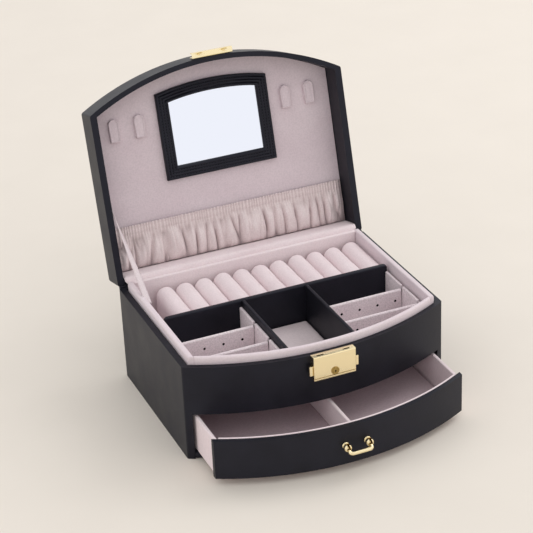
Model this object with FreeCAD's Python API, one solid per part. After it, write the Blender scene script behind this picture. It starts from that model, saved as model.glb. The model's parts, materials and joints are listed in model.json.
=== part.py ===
import FreeCAD, Part
import math
import os

# Bow-front jewellery box on two levels: a lined tray under a mirror lid, and a drawer.
# All sizes are in millimetres. +X is right, +Y is the rear and +Z is up.
# The origin is the middle of the bottom face. The lid stands open on its ribbon
# and the drawer is drawn part of the way out.

# Overall case
overall_width = 230.0
overall_depth = 178.5
bow_rise = 30.5
case_height = 85.0
lid_height = 27.0
lid_angle = 104.5
drawer_open = 43.5

# Case boards
side_board = 5.5
front_board = 4.4
rear_board = 5.5
bottom_board = 5.2
deck_board = 6.0
felt_thickness = 0.8
felt_inset = 8.0
board_fit = 0.1
rear_corner_radius = 3.0
front_corner_radius = 2.5
apron_height = 43.0
deck_rise = 2.0

# Tray lining, which stands above the rim and locates the lid
collar_rise = 6.0
collar_side = 4.4
collar_front = 3.0
collar_rear = 3.2
collar_edge_radius = 1.2
collar_side_gap = 1.3
collar_front_gap = 0.5
collar_rear_gap = 1.0
tray_pad = 4.0
lining_fit = 0.15

# Tray dividers
divider_thickness = 3.0
cross_divider_thickness = 4.4
cross_divider_end_gap = 2.3
divider_height = 35.2
divider_edge_radius = 1.2
divider_edge_bevel = 0.8
divider_corner_radius = 3.0
cross_divider_from_rear = 71.9
centre_bay_half_width = 27.3
centre_bay_shift = -3.1
centre_pad_thickness = 2.5
centre_pad_bevel = 1.2

# Ring rolls
roll_count = 11
roll_gap = 0.3
roll_height = 30.6
roll_left_gap = 16.0
roll_rear_gap = 4.0
roll_end_bevel = 4.0

# Earring racks
cheek_thickness = 2.4
cheek_height = 29.5
cheek_divider_gap = 0.2
cheek_wall_gap_left = 0.4
cheek_wall_gap_right = 2.4
panel_thickness = 3.0
panel_height = 26.5
panel_floor_gap = 0.6
panel_side_gap = 0.4
panel_edge_bevel = 0.8
rear_panel_from_divider = 29.7
panel_spacing = 29.5
earring_hole_radius = 1.1
earring_hole_count = 4
earring_hole_pitch = 16.6
earring_hole_shift = 3.3
earring_hole_height = 17.5
ear_radius = 1.25
ear_clearance = 0.05
ear_height = 25.4
ear_reach = 1.9

# Drawer
drawer_board = 3.0
drawer_running_gap = 0.3
drawer_side_gap = 2.5
drawer_head_gap = 4.7
drawer_pad_thickness = 3.5
drawer_rear_gap = 10.5
drawer_divider_drop = 2.3
drawer_face_recess = 1.0
drawer_face_thickness = 4.0
drawer_face_gap = 0.4
drawer_face_lift = 0.6
drawer_face_gap_above = 1.0
drawer_lip_thickness = 1.5
drawer_lip_drop = 0.8

# Drawer handle
handle_half_spacing = 9.5
handle_rest_angle = 64.0
handle_lift = 0.2
handle_ball_radius = 3.4
handle_ball_stand = 4.2
ball_flats = 4
handle_flange_radius = 3.2
handle_flange_thickness = 0.7
handle_stem_radius = 1.5
handle_stud_radius = 1.25
handle_stud_length = 3.0
handle_stud_clearance = 0.05
handle_pin_radius = 0.6
bail_drop = 6.4
bail_radius = 1.6
bail_corner_radius = 2.3
bail_corner_flats = 2
bail_neck = 3.7
bail_eye_radius = 1.3
bail_eye_thickness = 1.8
bail_side_clearance = 0.15
bail_bore_clearance = 0.05

# Lid
lid_side = 5.8
lid_front = 4.4
lid_rear = 5.8
lid_rim_gap = 0.2
lid_top_board = 5.4
lid_lining_thickness = 1.0
lid_lining_fit = 0.2
lid_edge_radius = 2.0
hinge_relief_radius = 1.5
hinge_roll_radius = 1.3
hinge_roll_inset = 1.0

# Mirror, on the lining of the lid
frame_half_width = 51.0
frame_low = 77.5
frame_shoulder = 152.5
frame_crown = 158.2
frame_width_side = 10.5
frame_width_low = 11.0
frame_width_top = 9.0
frame_thickness = 4.5
frame_groove_count = 3
frame_groove_step = 2.6
frame_groove_width = 0.8
frame_groove_depth = 0.6
frame_edge_bevel = 0.8
mirror_thickness = 2.0
mirror_overlap = 1.2
mirror_clearance = 0.1

# Necklace hooks, on the lining of the lid
hook_inner_x = 67.5
hook_outer_x = 90.0
hook_width = 10.0
hook_low = 118.5
hook_length = 20.5
hook_foot_length = 3.0
hook_standoff = 2.1
hook_plate = 1.6

# Gathered pocket, on the lining of the lid
pocket_side_gap = 0.8
pocket_low = 7.5
pocket_top = 38.5
pocket_band_top = 46.0
pocket_fold_count = 20
pocket_fold_depth = 1.9
pocket_valley = 2.6
pocket_fold_swing = 0.28
pocket_fold_beat = 2.3
band_thickness = 3.4
band_edge_radius = 1.2

# Cloth between the lid and the case
strip_thickness = 0.6
strip_clearance = 0.25
strip_drop = 3.5
ribbon_thickness = 0.5
ribbon_width = 4.5
ribbon_lid_reach = 77.3
ribbon_case_reach = 45.0
ribbon_case_drop = 2.5
ribbon_wall_gap = 0.3

# Lock on the front of the case
lock_half_width = 18.4
lock_depth = 6.5
lock_height = 21.5
lock_rim_rise = 1.0
lock_sheet = 0.8
lock_edge_radius = 0.7
lock_fold = 1.2
lock_seat = 0.05
lock_slot_x = 11.2
lock_slot_width = 5.7
lock_slot_depth = 1.8
hook_strap_depth = 1.0
hook_strap_width = 4.4
hook_strap_length = 6.6
hook_corner_radius = 1.1
hook_window_width = 2.0
hook_window_height = 1.6
hook_window_lift = 1.6
hook_stand = 3.5
key_lift = 6.0
key_boss_radius = 3.3
key_boss_stand = 0.8
key_sleeve_radius = 2.75
key_sleeve_length = 1.5
key_bore_radius = 2.3
key_clearance = 0.05
key_plug_length = 6.0
key_hole_radius = 0.7
key_slot_width = 0.6
key_slot_length = 1.7
key_hole_depth = 4.0
cam_reach = 5.5
cam_width = 2.4
cam_thickness = 0.8
button_height = 8.5
button_lift = 5.0
button_thickness = 3.0
button_stand = 3.0
button_length = 8.9
button_flange_thickness = 1.9
button_flange_rise = 0.8
button_clearance = 0.1
button_end_radius = 0.6

# Hasp on the front of the lid
hasp_sheet = 0.8
hasp_depth = 4.9
hasp_lift = 1.6
hasp_back_height = 6.4
hasp_lip_height = 4.4
hasp_edge_radius = 0.5

# Places that follow from the sizes above
half_width = overall_width / 2
front_y = -overall_depth / 2
rear_y = overall_depth / 2
bow_radius = (half_width ** 2 + bow_rise ** 2) / (2 * bow_rise)
bow_centre_y = front_y + bow_radius
rim_z = case_height
case_inner_half = half_width - side_board
case_inner_rear = rear_y - rear_board
bottom_top = felt_thickness + bottom_board
apron_bottom = rim_z - apron_height
deck_bottom = apron_bottom + deck_rise
deck_top = deck_bottom + deck_board
collar_outer_half = case_inner_half - collar_side_gap
collar_inner_half = collar_outer_half - collar_side
collar_outer_offset = front_board + collar_front_gap
collar_inner_offset = collar_outer_offset + collar_front
collar_outer_rear = case_inner_rear - collar_rear_gap
collar_inner_rear = collar_outer_rear - collar_rear
collar_top = rim_z + collar_rise
tray_floor_z = deck_top + tray_pad
divider_front_y = rear_y - cross_divider_from_rear - cross_divider_thickness
divider_rear_y = rear_y - cross_divider_from_rear
divider_top = tray_floor_z + divider_height
rear_panel_y = divider_front_y - rear_panel_from_divider
front_panel_y = rear_panel_y - panel_spacing
ear_z = tray_floor_z + ear_height
hinge_point = FreeCAD.Vector(0, rear_y, rim_z)
lid_inner_half = half_width - lid_side
lid_inner_rear = rear_y - lid_rear
lid_top_z = rim_z + lid_height
lid_board_z = lid_top_z - lid_top_board
lining_z = lid_board_z - lid_lining_thickness
drawer_inner_half = case_inner_half - drawer_side_gap - drawer_board
drawer_outer_half = drawer_inner_half + drawer_board
drawer_bottom = bottom_top + drawer_running_gap
drawer_top = deck_bottom - drawer_head_gap
drawer_floor_z = drawer_bottom + drawer_board + drawer_pad_thickness
drawer_rear_y = case_inner_rear - drawer_rear_gap
drawer_body_offset = drawer_face_recess + drawer_face_thickness + board_fit
drawer_lip_offset = drawer_body_offset + drawer_lip_thickness
drawer_face_bottom = bottom_top + drawer_face_lift
drawer_face_top = apron_bottom - drawer_face_gap_above
handle_height = (drawer_face_bottom + drawer_face_top) / 2 + handle_lift
pocket_half_width = lid_inner_half - pocket_side_gap
lock_top = rim_z + lock_rim_rise
lock_bottom = lock_top - lock_height
key_height = lock_bottom + key_lift
button_bottom = lock_bottom + button_lift
button_axis_y = front_y - hook_stand
overcut = 5.0
same_place = 0.01
mitred_corners = 1


# Helpers for plans and blocks
def span(centre, size):
    """The two ends of a length about its middle."""
    return (centre - size / 2, centre + size / 2)


def block(x_span, y_span, z_span):
    """A square-edged block between two corners."""
    lengths = [ends[1] - ends[0] for ends in (x_span, y_span, z_span)]
    corner = FreeCAD.Vector(x_span[0], y_span[0], z_span[0])
    return Part.makeBox(lengths[0], lengths[1], lengths[2], corner)


def rod(radius, start, direction, length):
    """A round bar from a start point along a direction."""
    return Part.makeCylinder(radius, length, start, direction)


def bow_y(x, offset):
    """Where a curve lies that runs inside the bow of the front by an offset."""
    return bow_centre_y - math.sqrt((bow_radius - offset) ** 2 - x ** 2)


def bow_plan(half, offset, rear, z_span):
    """A plate with straight sides and rear and the bowed front."""
    corner_y = bow_y(half, offset)
    z = z_span[0]
    left = FreeCAD.Vector(-half, corner_y, z)
    crown = FreeCAD.Vector(0, front_y + offset, z)
    right = FreeCAD.Vector(half, corner_y, z)
    rear_right = FreeCAD.Vector(half, rear, z)
    rear_left = FreeCAD.Vector(-half, rear, z)
    edges = [Part.Arc(left, crown, right).toShape()]
    edges.append(Part.makeLine(right, rear_right))
    edges.append(Part.makeLine(rear_right, rear_left))
    edges.append(Part.makeLine(rear_left, left))
    face = Part.Face(Part.Wire(edges))
    return face.extrude(FreeCAD.Vector(0, 0, z_span[1] - z))


def middle(edge):
    """The point half way along an edge."""
    return edge.valueAt((edge.FirstParameter + edge.LastParameter) / 2)


def near(first, second):
    """Two sizes that are the same but for rounding."""
    return abs(first - second) < same_place


def runs_along(edge, axis):
    """A straight edge parallel to one of the axes X, Y and Z."""
    if len(edge.Vertexes) < 2 or edge.Curve.TypeId != "Part::GeomLine":
        return False
    step = edge.Vertexes[1].Point - edge.Vertexes[0].Point
    return near(abs(step[axis]), step.Length)


def rounded(shape, radius, wanted):
    """A solid with the edges that a test picks rounded over."""
    return shape.makeFillet(radius, [edge for edge in shape.Edges if wanted(edge)])


def bevelled(shape, size, wanted):
    """A solid with the edges that a test picks cut off at 45 degrees."""
    return shape.makeChamfer(size, [edge for edge in shape.Edges if wanted(edge)])


def outer_plan(z_span):
    """The outline of the case and the lid, with its small wrapped corners."""
    plan = bow_plan(half_width, 0, rear_y, z_span)
    plan = rounded(plan, rear_corner_radius, lambda e: runs_along(e, 2) and middle(e).y > 0)
    return rounded(plan, front_corner_radius,
                   lambda e: runs_along(e, 2) and near(abs(middle(e).x), half_width) and middle(e).y < 0)


def boards_of(ring, half, z_span):
    """The left, right, front and rear boards of a ring, butted at the side boards."""
    everywhere = (front_y - overcut, rear_y + overcut)
    left = ring.common(block((-half_width - overcut, -half), everywhere, z_span))
    right = ring.common(block((half, half_width + overcut), everywhere, z_span))
    front = ring.common(block((-half, half), (front_y - overcut, 0), z_span))
    rear = ring.common(block((-half, half), (0, rear_y + overcut), z_span))
    return left, right, front, rear


def hinge_relief():
    """The round that both rear edges give up for the leather hinge."""
    start = FreeCAD.Vector(-half_width - overcut, rear_y, rim_z)
    return rod(hinge_relief_radius, start, FreeCAD.Vector(1, 0, 0), overall_width + 2 * overcut)


# Case boards
def case_boards():
    z_span = (0, rim_z)
    hollow = bow_plan(case_inner_half, front_board, case_inner_rear, (-overcut, rim_z + overcut))
    ring = outer_plan(z_span).cut(hollow).cut(hinge_relief())
    left, right, front, rear = boards_of(ring, case_inner_half, z_span)
    apron_block = block((-half_width, half_width), (front_y - overcut, rear_y), (apron_bottom, rim_z))
    return {
        "case_left_wall": left,
        "case_right_wall": right,
        "case_rear_wall": rear,
        "front_apron": front.common(apron_block),
    }


def case_levels():
    half = case_inner_half - board_fit
    rear = case_inner_rear - board_fit
    felt_half = case_inner_half - felt_inset
    felt_rear = case_inner_rear - felt_inset
    return {
        "case_bottom": bow_plan(half, 0, rear, (felt_thickness, bottom_top)),
        "base_felt": bow_plan(felt_half, felt_inset, felt_rear, (0, felt_thickness)),
        "deck": bow_plan(half, front_board + board_fit, rear, (deck_bottom, deck_top)),
    }


# Lining of the tray
def rail_section(z_span):
    """The section of the front rail in the side view, its top edges eased in two flats."""
    low, top = z_span
    outer_y = front_y + collar_outer_offset
    inner_y = front_y + collar_inner_offset
    radius = collar_edge_radius
    turn = radius * (1 - math.sqrt(0.5))

    def point(y, z):
        return FreeCAD.Vector(0, y, z)

    corners = [point(inner_y, low), point(outer_y, low), point(outer_y, top - radius)]
    corners += [point(outer_y + turn, top - turn), point(outer_y + radius, top)]
    corners += [point(inner_y - radius, top), point(inner_y - turn, top - turn)]
    corners += [point(inner_y, top - radius), point(inner_y, low)]
    return Part.Face(Part.makePolygon(corners))


def collar_front_rail(z_span):
    """The front rail turned about the centre of the bow and cut off at the side rails."""
    up = FreeCAD.Vector(0, 0, 1)
    centre = FreeCAD.Vector(0, bow_centre_y, 0)
    half_turn = math.degrees(math.asin(half_width / (bow_radius - collar_inner_offset)))
    rail = rail_section(z_span).rotated(centre, up, -half_turn).revolve(centre, up, 2 * half_turn)
    return rail.common(block((-collar_inner_half, collar_inner_half), (front_y, 0), z_span))


def tray_collar():
    z_span = (deck_top, collar_top)
    hollow_z = (-overcut, collar_top + overcut)
    hollow = bow_plan(collar_inner_half, collar_inner_offset, collar_inner_rear, hollow_z)
    ring = bow_plan(collar_outer_half, collar_outer_offset, collar_outer_rear, z_span).cut(hollow)
    left, right, _, rear = boards_of(ring, collar_inner_half, z_span)

    def top_rail(edge):
        return near(middle(edge).z, collar_top) and edge.Length > 2 * collar_rear

    return {
        "collar_left": rounded(left, collar_edge_radius, top_rail),
        "collar_right": rounded(right, collar_edge_radius, top_rail),
        "collar_front": collar_front_rail(z_span),
        "collar_rear": rounded(rear, collar_edge_radius, top_rail),
    }


def inside_collar(shape):
    """What is left of a piece inside the collar, with the lining's small gap."""
    half = collar_inner_half - lining_fit
    rear = collar_inner_rear - lining_fit
    return shape.common(bow_plan(half, collar_inner_offset + lining_fit, rear, (0, collar_top)))


def tray_floor():
    everywhere = (front_y, rear_y)
    sheet = block((-half_width, half_width), everywhere, (deck_top, tray_floor_z))
    return inside_collar(sheet)


def cross_divider():
    half = collar_inner_half - cross_divider_end_gap
    board = block((-half, half), (divider_front_y, divider_rear_y), (tray_floor_z, divider_top))
    board = rounded(board, divider_corner_radius,
                    lambda e: runs_along(e, 1) and near(middle(e).z, divider_top))
    return bevelled(board, divider_edge_bevel,
                    lambda e: runs_along(e, 0) and near(middle(e).z, divider_top))


def long_divider(side):
    inner = centre_bay_shift + side * centre_bay_half_width
    outer = inner + side * divider_thickness
    x_span = (min(inner, outer), max(inner, outer))
    y_span = (front_y, divider_front_y - lining_fit)
    board = inside_collar(block(x_span, y_span, (tray_floor_z, divider_top)))
    return rounded(board, divider_edge_radius, lambda e: runs_along(e, 1) and near(middle(e).z, divider_top))


def centre_pad():
    x_span = span(centre_bay_shift, 2 * (centre_bay_half_width - lining_fit))
    top = tray_floor_z + centre_pad_thickness
    pad = inside_collar(block(x_span, (front_y, divider_front_y - lining_fit), (tray_floor_z, top)))
    return bevelled(pad, centre_pad_bevel, lambda e: near(middle(e).z, top))


def ring_roll(x):
    """An upright strip of foam with a half-round top and an eased rear end."""
    radius = roll_pitch() / 2 - roll_gap / 2
    top = tray_floor_z + roll_height
    y = divider_rear_y + lining_fit
    low_left = FreeCAD.Vector(x - radius, y, tray_floor_z)
    high_left = FreeCAD.Vector(x - radius, y, top - radius)
    crown = FreeCAD.Vector(x, y, top)
    high_right = FreeCAD.Vector(x + radius, y, top - radius)
    low_right = FreeCAD.Vector(x + radius, y, tray_floor_z)
    edges = [Part.makeLine(low_left, high_left)]
    edges.append(Part.Arc(high_left, crown, high_right).toShape())
    edges.append(Part.makeLine(high_right, low_right))
    edges.append(Part.makeLine(low_right, low_left))
    rear = collar_inner_rear - roll_rear_gap
    strip = Part.Face(Part.Wire(edges)).extrude(FreeCAD.Vector(0, rear - y, 0))
    return bevelled(strip, roll_end_bevel,
                    lambda e: near(middle(e).y, rear) and middle(e).z > tray_floor_z + roll_end_bevel)


def roll_pitch():
    return (2 * (collar_inner_half - lining_fit) - roll_left_gap) / roll_count


def ring_rolls():
    last = collar_inner_half - lining_fit - roll_pitch() / 2
    return Part.makeCompound([ring_roll(last - number * roll_pitch()) for number in range(roll_count)])


# Earring racks
def rack_ends(side):
    """How far the two inner faces of a rack's cheeks lie from the middle of the case."""
    divider_face = side * centre_bay_shift + centre_bay_half_width + divider_thickness
    wall_gap = cheek_wall_gap_left if side < 0 else cheek_wall_gap_right
    return divider_face + cheek_divider_gap + cheek_thickness, collar_inner_half - wall_gap - cheek_thickness


def rack_cheek(inner_face, outward):
    """A padded cheek with an open notch for the ear of each panel that it holds."""
    outer_face = inner_face + outward * cheek_thickness
    x_span = (min(inner_face, outer_face), max(inner_face, outer_face))
    top = tray_floor_z + cheek_height
    y_span = (front_y, divider_front_y - lining_fit)
    cheek = inside_collar(block(x_span, y_span, (tray_floor_z, top)))
    notch_radius = ear_radius + ear_clearance
    for panel_y in (rear_panel_y, front_panel_y):
        start = FreeCAD.Vector(x_span[0], panel_y, ear_z)
        cheek = cheek.cut(rod(notch_radius, start, FreeCAD.Vector(1, 0, 0), cheek_thickness))
        cheek = cheek.cut(block(x_span, span(panel_y, 2 * notch_radius), (ear_z, top + overcut)))
    return cheek


def rack_cheeks():
    left_inner, left_outer = rack_ends(-1)
    right_inner, right_outer = rack_ends(1)
    return {
        "left_rack_outer_cheek": rack_cheek(-left_outer, -1),
        "left_rack_inner_cheek": rack_cheek(-left_inner, 1),
        "right_rack_inner_cheek": rack_cheek(right_inner, -1),
        "right_rack_outer_cheek": rack_cheek(right_outer, 1),
    }


def earring_panel(side, panel_y):
    """A pierced panel that hangs between two cheeks on an ear at each end."""
    inner, outer = rack_ends(side)
    x_middle = side * (inner + outer) / 2
    clear_width = outer - inner
    low = tray_floor_z + panel_floor_gap
    top = low + panel_height
    x_span = span(x_middle, clear_width - 2 * panel_side_gap)
    panel = block(x_span, span(panel_y, panel_thickness), (low, top))
    panel = bevelled(panel, panel_edge_bevel, lambda e: runs_along(e, 0) and near(middle(e).z, top))
    first = x_middle + side * earring_hole_shift - earring_hole_pitch * (earring_hole_count - 1) / 2
    for number in range(earring_hole_count):
        x = first + number * earring_hole_pitch
        start = FreeCAD.Vector(x, panel_y - overcut, tray_floor_z + earring_hole_height)
        panel = panel.cut(rod(earring_hole_radius, start, FreeCAD.Vector(0, 1, 0), 2 * overcut))
    ear_span = span(x_middle, clear_width + 2 * ear_reach)
    start = FreeCAD.Vector(ear_span[0], panel_y, ear_z)
    ears = rod(ear_radius, start, FreeCAD.Vector(1, 0, 0), ear_span[1] - ear_span[0])
    return panel.fuse(ears).removeSplitter()


# Drawer, drawn shut and then slid out
def drawer_inside(offset, half, shape):
    """What is left of a piece behind the bowed face of the drawer."""
    return shape.common(bow_plan(half, offset, drawer_rear_y, (0, rim_z)))


def drawer_face():
    ring = bow_plan(half_width, drawer_face_recess, rear_y, (drawer_face_bottom, drawer_face_top))
    inner_offset = drawer_face_recess + drawer_face_thickness
    ring = ring.cut(bow_plan(half_width, inner_offset, rear_y, (0, rim_z)))
    half = case_inner_half - drawer_face_gap
    face = ring.common(block((-half, half), (front_y - overcut, 0), (0, rim_z)))
    for side in (-1, 1):
        x = side * handle_half_spacing
        start = FreeCAD.Vector(x, bow_y(x, drawer_face_recess) - overcut, handle_height)
        length = overcut + handle_stud_length + handle_stud_clearance
        radius = handle_stud_radius + handle_stud_clearance
        face = face.cut(rod(radius, start, FreeCAD.Vector(0, 1, 0), length))
    return face


def drawer_lip():
    z_span = (drawer_floor_z, drawer_face_top - drawer_lip_drop)
    half = drawer_inner_half - board_fit
    board = block((-half, half), (front_y, 0), z_span)
    board = drawer_inside(drawer_body_offset, half, board)
    return board.cut(bow_plan(half_width, drawer_lip_offset, rear_y, (0, rim_z)))


def drawer_side(side):
    inner = side * drawer_inner_half
    outer = side * drawer_outer_half
    x_span = (min(inner, outer), max(inner, outer))
    board = block(x_span, (front_y, drawer_rear_y), (drawer_bottom, drawer_top))
    return drawer_inside(drawer_body_offset, half_width, board)


def drawer_boards():
    half = drawer_inner_half - board_fit
    floor_top = drawer_bottom + drawer_board
    back_y = drawer_rear_y - drawer_board
    base = bow_plan(half, drawer_body_offset, drawer_rear_y, (drawer_bottom, floor_top))
    pad_offset = drawer_lip_offset - drawer_lip_thickness
    pad = bow_plan(half, pad_offset, back_y - board_fit, (floor_top, drawer_floor_z))
    back = block((-half, half), (back_y, drawer_rear_y), (floor_top, drawer_top))
    divider_top_z = drawer_top - drawer_divider_drop
    divider = block(span(0, drawer_board), (front_y, back_y - board_fit), (drawer_floor_z, divider_top_z))
    return {
        "drawer_front": drawer_face(),
        "drawer_front_lining": drawer_lip(),
        "drawer_left_side": drawer_side(-1),
        "drawer_right_side": drawer_side(1),
        "drawer_base": base,
        "drawer_pad": pad,
        "drawer_back": back,
        "drawer_divider": drawer_inside(drawer_lip_offset + board_fit, half, divider),
        "handle_posts": Part.makeCompound([handle_post(-1), handle_post(1)]),
    }


def ball_centre(side):
    x = side * handle_half_spacing
    return FreeCAD.Vector(x, bow_y(x, drawer_face_recess) - handle_ball_stand, handle_height)


def turned_ball(centre):
    """A ball turned about the Y axis, with its round drawn as a few flats."""
    corners = []
    for flat in range(ball_flats + 1):
        angle = math.pi * flat / ball_flats
        across = handle_ball_radius * math.sin(angle)
        along = handle_ball_radius * math.cos(angle)
        corners.append(centre + FreeCAD.Vector(across, along, 0))
    outline = Part.makePolygon(corners + [corners[0]])
    return Part.Face(outline).revolve(centre, FreeCAD.Vector(0, 1, 0), 360)


def handle_post(side):
    """A flanged post with a slotted ball, and the pin that the handle turns on."""
    centre = ball_centre(side)
    forward = FreeCAD.Vector(0, -1, 0)
    face_y = centre.y + handle_ball_stand
    seat_y = bow_y(abs(centre.x) - handle_flange_radius, drawer_face_recess)
    seat = FreeCAD.Vector(centre.x, seat_y, handle_height)
    flange = rod(handle_flange_radius, seat, forward, handle_flange_thickness)
    stem_root = FreeCAD.Vector(centre.x, face_y + handle_stud_length, handle_height)
    stud = rod(handle_stud_radius, stem_root, forward, stem_root.y - seat.y)
    stem = rod(handle_stem_radius, seat, forward, seat.y - centre.y)
    ball = turned_ball(centre)
    slot_x = span(centre.x, bail_eye_thickness + 2 * bail_side_clearance)
    slot_y = (centre.y - overcut, centre.y + bail_eye_radius + bail_side_clearance)
    slot = block(slot_x, slot_y, span(centre.z, 2 * overcut))
    pin_start = FreeCAD.Vector(centre.x - handle_ball_radius + handle_pin_radius, centre.y, centre.z)
    pin_length = 2 * (handle_ball_radius - handle_pin_radius)
    pin = rod(handle_pin_radius, pin_start, FreeCAD.Vector(1, 0, 0), pin_length)
    post = flange.fuse([stud, stem, ball]).cut(slot).fuse(pin)
    return post.removeSplitter()


def bail_corner(centre, start_angle):
    """The points of one corner of the loop's bar, bent in a few short flats."""
    angles = [start_angle + math.pi / 2 * flat / bail_corner_flats for flat in range(bail_corner_flats + 1)]
    return [centre + FreeCAD.Vector(math.cos(a), 0, math.sin(a)) * bail_corner_radius for a in angles]


def handle_bail():
    """A round-bar loop with a flat eye at each end, drawn hanging and then lifted to where it rests."""
    left = ball_centre(-1)
    right = ball_centre(1)
    y = left.y
    bend = handle_height - bail_drop + bail_corner_radius
    neck = handle_height - bail_neck
    points = [FreeCAD.Vector(left.x, y, neck)]
    points += bail_corner(FreeCAD.Vector(left.x + bail_corner_radius, y, bend), math.pi)
    points += bail_corner(FreeCAD.Vector(right.x - bail_corner_radius, y, bend), 3 * math.pi / 2)
    points.append(FreeCAD.Vector(right.x, y, neck))
    section = Part.Wire([Part.makeCircle(bail_radius, points[0], FreeCAD.Vector(0, 0, 1))])
    bail = Part.makePolygon(points).makePipeShell([section], True, True, mitred_corners)
    bore_radius = handle_pin_radius + bail_bore_clearance
    for centre in (left, right):
        x_span = span(centre.x, bail_eye_thickness)
        tab = block(x_span, span(y, 2 * bail_eye_radius), (bend, handle_height))
        eye_start = FreeCAD.Vector(x_span[0], y, handle_height)
        eye = rod(bail_eye_radius, eye_start, FreeCAD.Vector(1, 0, 0), bail_eye_thickness)
        bore = rod(bore_radius, eye_start, FreeCAD.Vector(1, 0, 0), bail_eye_thickness)
        bail = bail.fuse([tab, eye]).cut(bore)
    return bail.removeSplitter().rotated(left, FreeCAD.Vector(-1, 0, 0), handle_rest_angle)


# Lid, drawn shut and then turned open
def lid_boards():
    z_span = (rim_z + lid_rim_gap, lid_board_z)
    hollow = bow_plan(lid_inner_half, lid_front, lid_inner_rear, (0, lid_top_z))
    ring = outer_plan(z_span).cut(hollow).cut(hinge_relief())
    left, right, front, rear = boards_of(ring, lid_inner_half, z_span)
    top = rounded(outer_plan((lid_board_z, lid_top_z)), lid_edge_radius,
                  lambda e: near(middle(e).z, lid_top_z))
    lining_half = lid_inner_half - lid_lining_fit
    lining_rear = lid_inner_rear - lid_lining_fit
    lining = bow_plan(lining_half, lid_front + lid_lining_fit, lining_rear, (lining_z, lid_board_z))
    return {
        "lid_left_wall": left,
        "lid_right_wall": right,
        "lid_front_wall": front,
        "lid_rear_wall": rear,
        "lid_top": top,
        "lid_lining": lining,
    }


def arched_plate(half, low, shoulder, crown, z_span):
    """A plate on the lid's lining with an arched top, measured from the hinge."""
    z = z_span[0]
    corners = [(-half, low), (half, low), (half, shoulder), (-half, shoulder)]
    low_left, low_right, high_right, high_left = [FreeCAD.Vector(x, rear_y - v, z) for x, v in corners]
    top = FreeCAD.Vector(0, rear_y - crown, z)
    edges = [Part.makeLine(low_left, low_right)]
    edges.append(Part.makeLine(low_right, high_right))
    edges.append(Part.Arc(high_right, top, high_left).toShape())
    edges.append(Part.makeLine(high_left, low_left))
    return Part.Face(Part.Wire(edges)).extrude(FreeCAD.Vector(0, 0, z_span[1] - z))


def frame_plate(inset, z_span):
    """The outer outline of the mirror frame, drawn in by an inset."""
    return arched_plate(frame_half_width - inset, frame_low + inset, frame_shoulder - inset,
                        frame_crown - inset, z_span)


def mirror_plate(growth, z_span):
    """The outline of the mirror's opening, grown by an amount all round."""
    half = frame_half_width - frame_width_side + growth
    low = frame_low + frame_width_low - growth
    shoulder = frame_shoulder - frame_width_top + growth
    crown = frame_crown - frame_width_top + growth
    return arched_plate(half, low, shoulder, crown, z_span)


def mirror_frame():
    face_z = lining_z - frame_thickness
    frame = frame_plate(0, (face_z, lining_z))
    frame = bevelled(frame, frame_edge_bevel, lambda e: near(middle(e).z, face_z))
    frame = frame.cut(mirror_plate(0, (face_z - overcut, lining_z + overcut)))
    seat_low = lining_z - mirror_thickness - 2 * mirror_clearance
    frame = frame.cut(mirror_plate(mirror_overlap + mirror_clearance, (seat_low, lining_z + overcut)))
    groove_span = (face_z - overcut, face_z + frame_groove_depth)
    for number in range(frame_groove_count):
        inset = frame_groove_step * (number + 1) - frame_groove_width / 2
        groove = frame_plate(inset, groove_span).cut(frame_plate(inset + frame_groove_width, groove_span))
        frame = frame.cut(groove)
    return frame


def mirror_glass():
    glass_low = lining_z - mirror_thickness - mirror_clearance
    return mirror_plate(mirror_overlap, (glass_low, lining_z - mirror_clearance))


def necklace_hook(x):
    """A padded tab, fixed at its foot, with a round free end that points up."""
    radius = hook_width / 2
    low_y = rear_y - hook_low
    round_y = low_y - hook_length + radius
    plate_top = lining_z - hook_standoff
    plate_low = plate_top - hook_plate
    x_span = span(x, hook_width)
    plate = block(x_span, (round_y, low_y), (plate_low, plate_top))
    end = rod(radius, FreeCAD.Vector(x, round_y, plate_low), FreeCAD.Vector(0, 0, 1), hook_plate)
    foot = block(x_span, (low_y - hook_foot_length, low_y), (plate_low, lining_z))
    return plate.fuse([end, foot]).removeSplitter()


def necklace_hooks():
    places = (-hook_outer_x, -hook_inner_x, hook_inner_x, hook_outer_x)
    return Part.makeCompound([necklace_hook(x) for x in places])


def pocket_edges():
    """Where the folds of the pocket begin and end, uneven as gathered cloth is."""
    even = 2 * pocket_half_width / pocket_fold_count
    places = []
    for number in range(pocket_fold_count + 1):
        inner = 0 < number < pocket_fold_count
        sway = pocket_fold_swing * even * math.sin(pocket_fold_beat * number) if inner else 0
        places.append(-pocket_half_width + number * even + sway)
    return places


def pocket():
    """Satin gathered into upright folds under the elastic band."""
    y = rear_y - pocket_low
    valley_z = lining_z - pocket_valley
    places = pocket_edges()
    edges = []
    for left, right in zip(places[:-1], places[1:]):
        ridge = FreeCAD.Vector((left + right) / 2, y, valley_z - pocket_fold_depth)
        start = FreeCAD.Vector(left, y, valley_z)
        end = FreeCAD.Vector(right, y, valley_z)
        edges.append(Part.Arc(start, ridge, end).toShape())
    corners = [FreeCAD.Vector(places[-1], y, valley_z), FreeCAD.Vector(places[-1], y, lining_z)]
    corners += [FreeCAD.Vector(places[0], y, lining_z), FreeCAD.Vector(places[0], y, valley_z)]
    edges += [Part.makeLine(first, second) for first, second in zip(corners[:-1], corners[1:])]
    return Part.Face(Part.Wire(edges)).extrude(FreeCAD.Vector(0, pocket_low - pocket_top, 0))


def pocket_band():
    y_span = (rear_y - pocket_band_top, rear_y - pocket_top - lining_fit)
    x_span = (-pocket_half_width, pocket_half_width)
    face_z = lining_z - band_thickness
    band = block(x_span, y_span, (face_z, lining_z))
    return rounded(band, band_edge_radius, lambda e: runs_along(e, 0) and near(middle(e).z, face_z))


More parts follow.
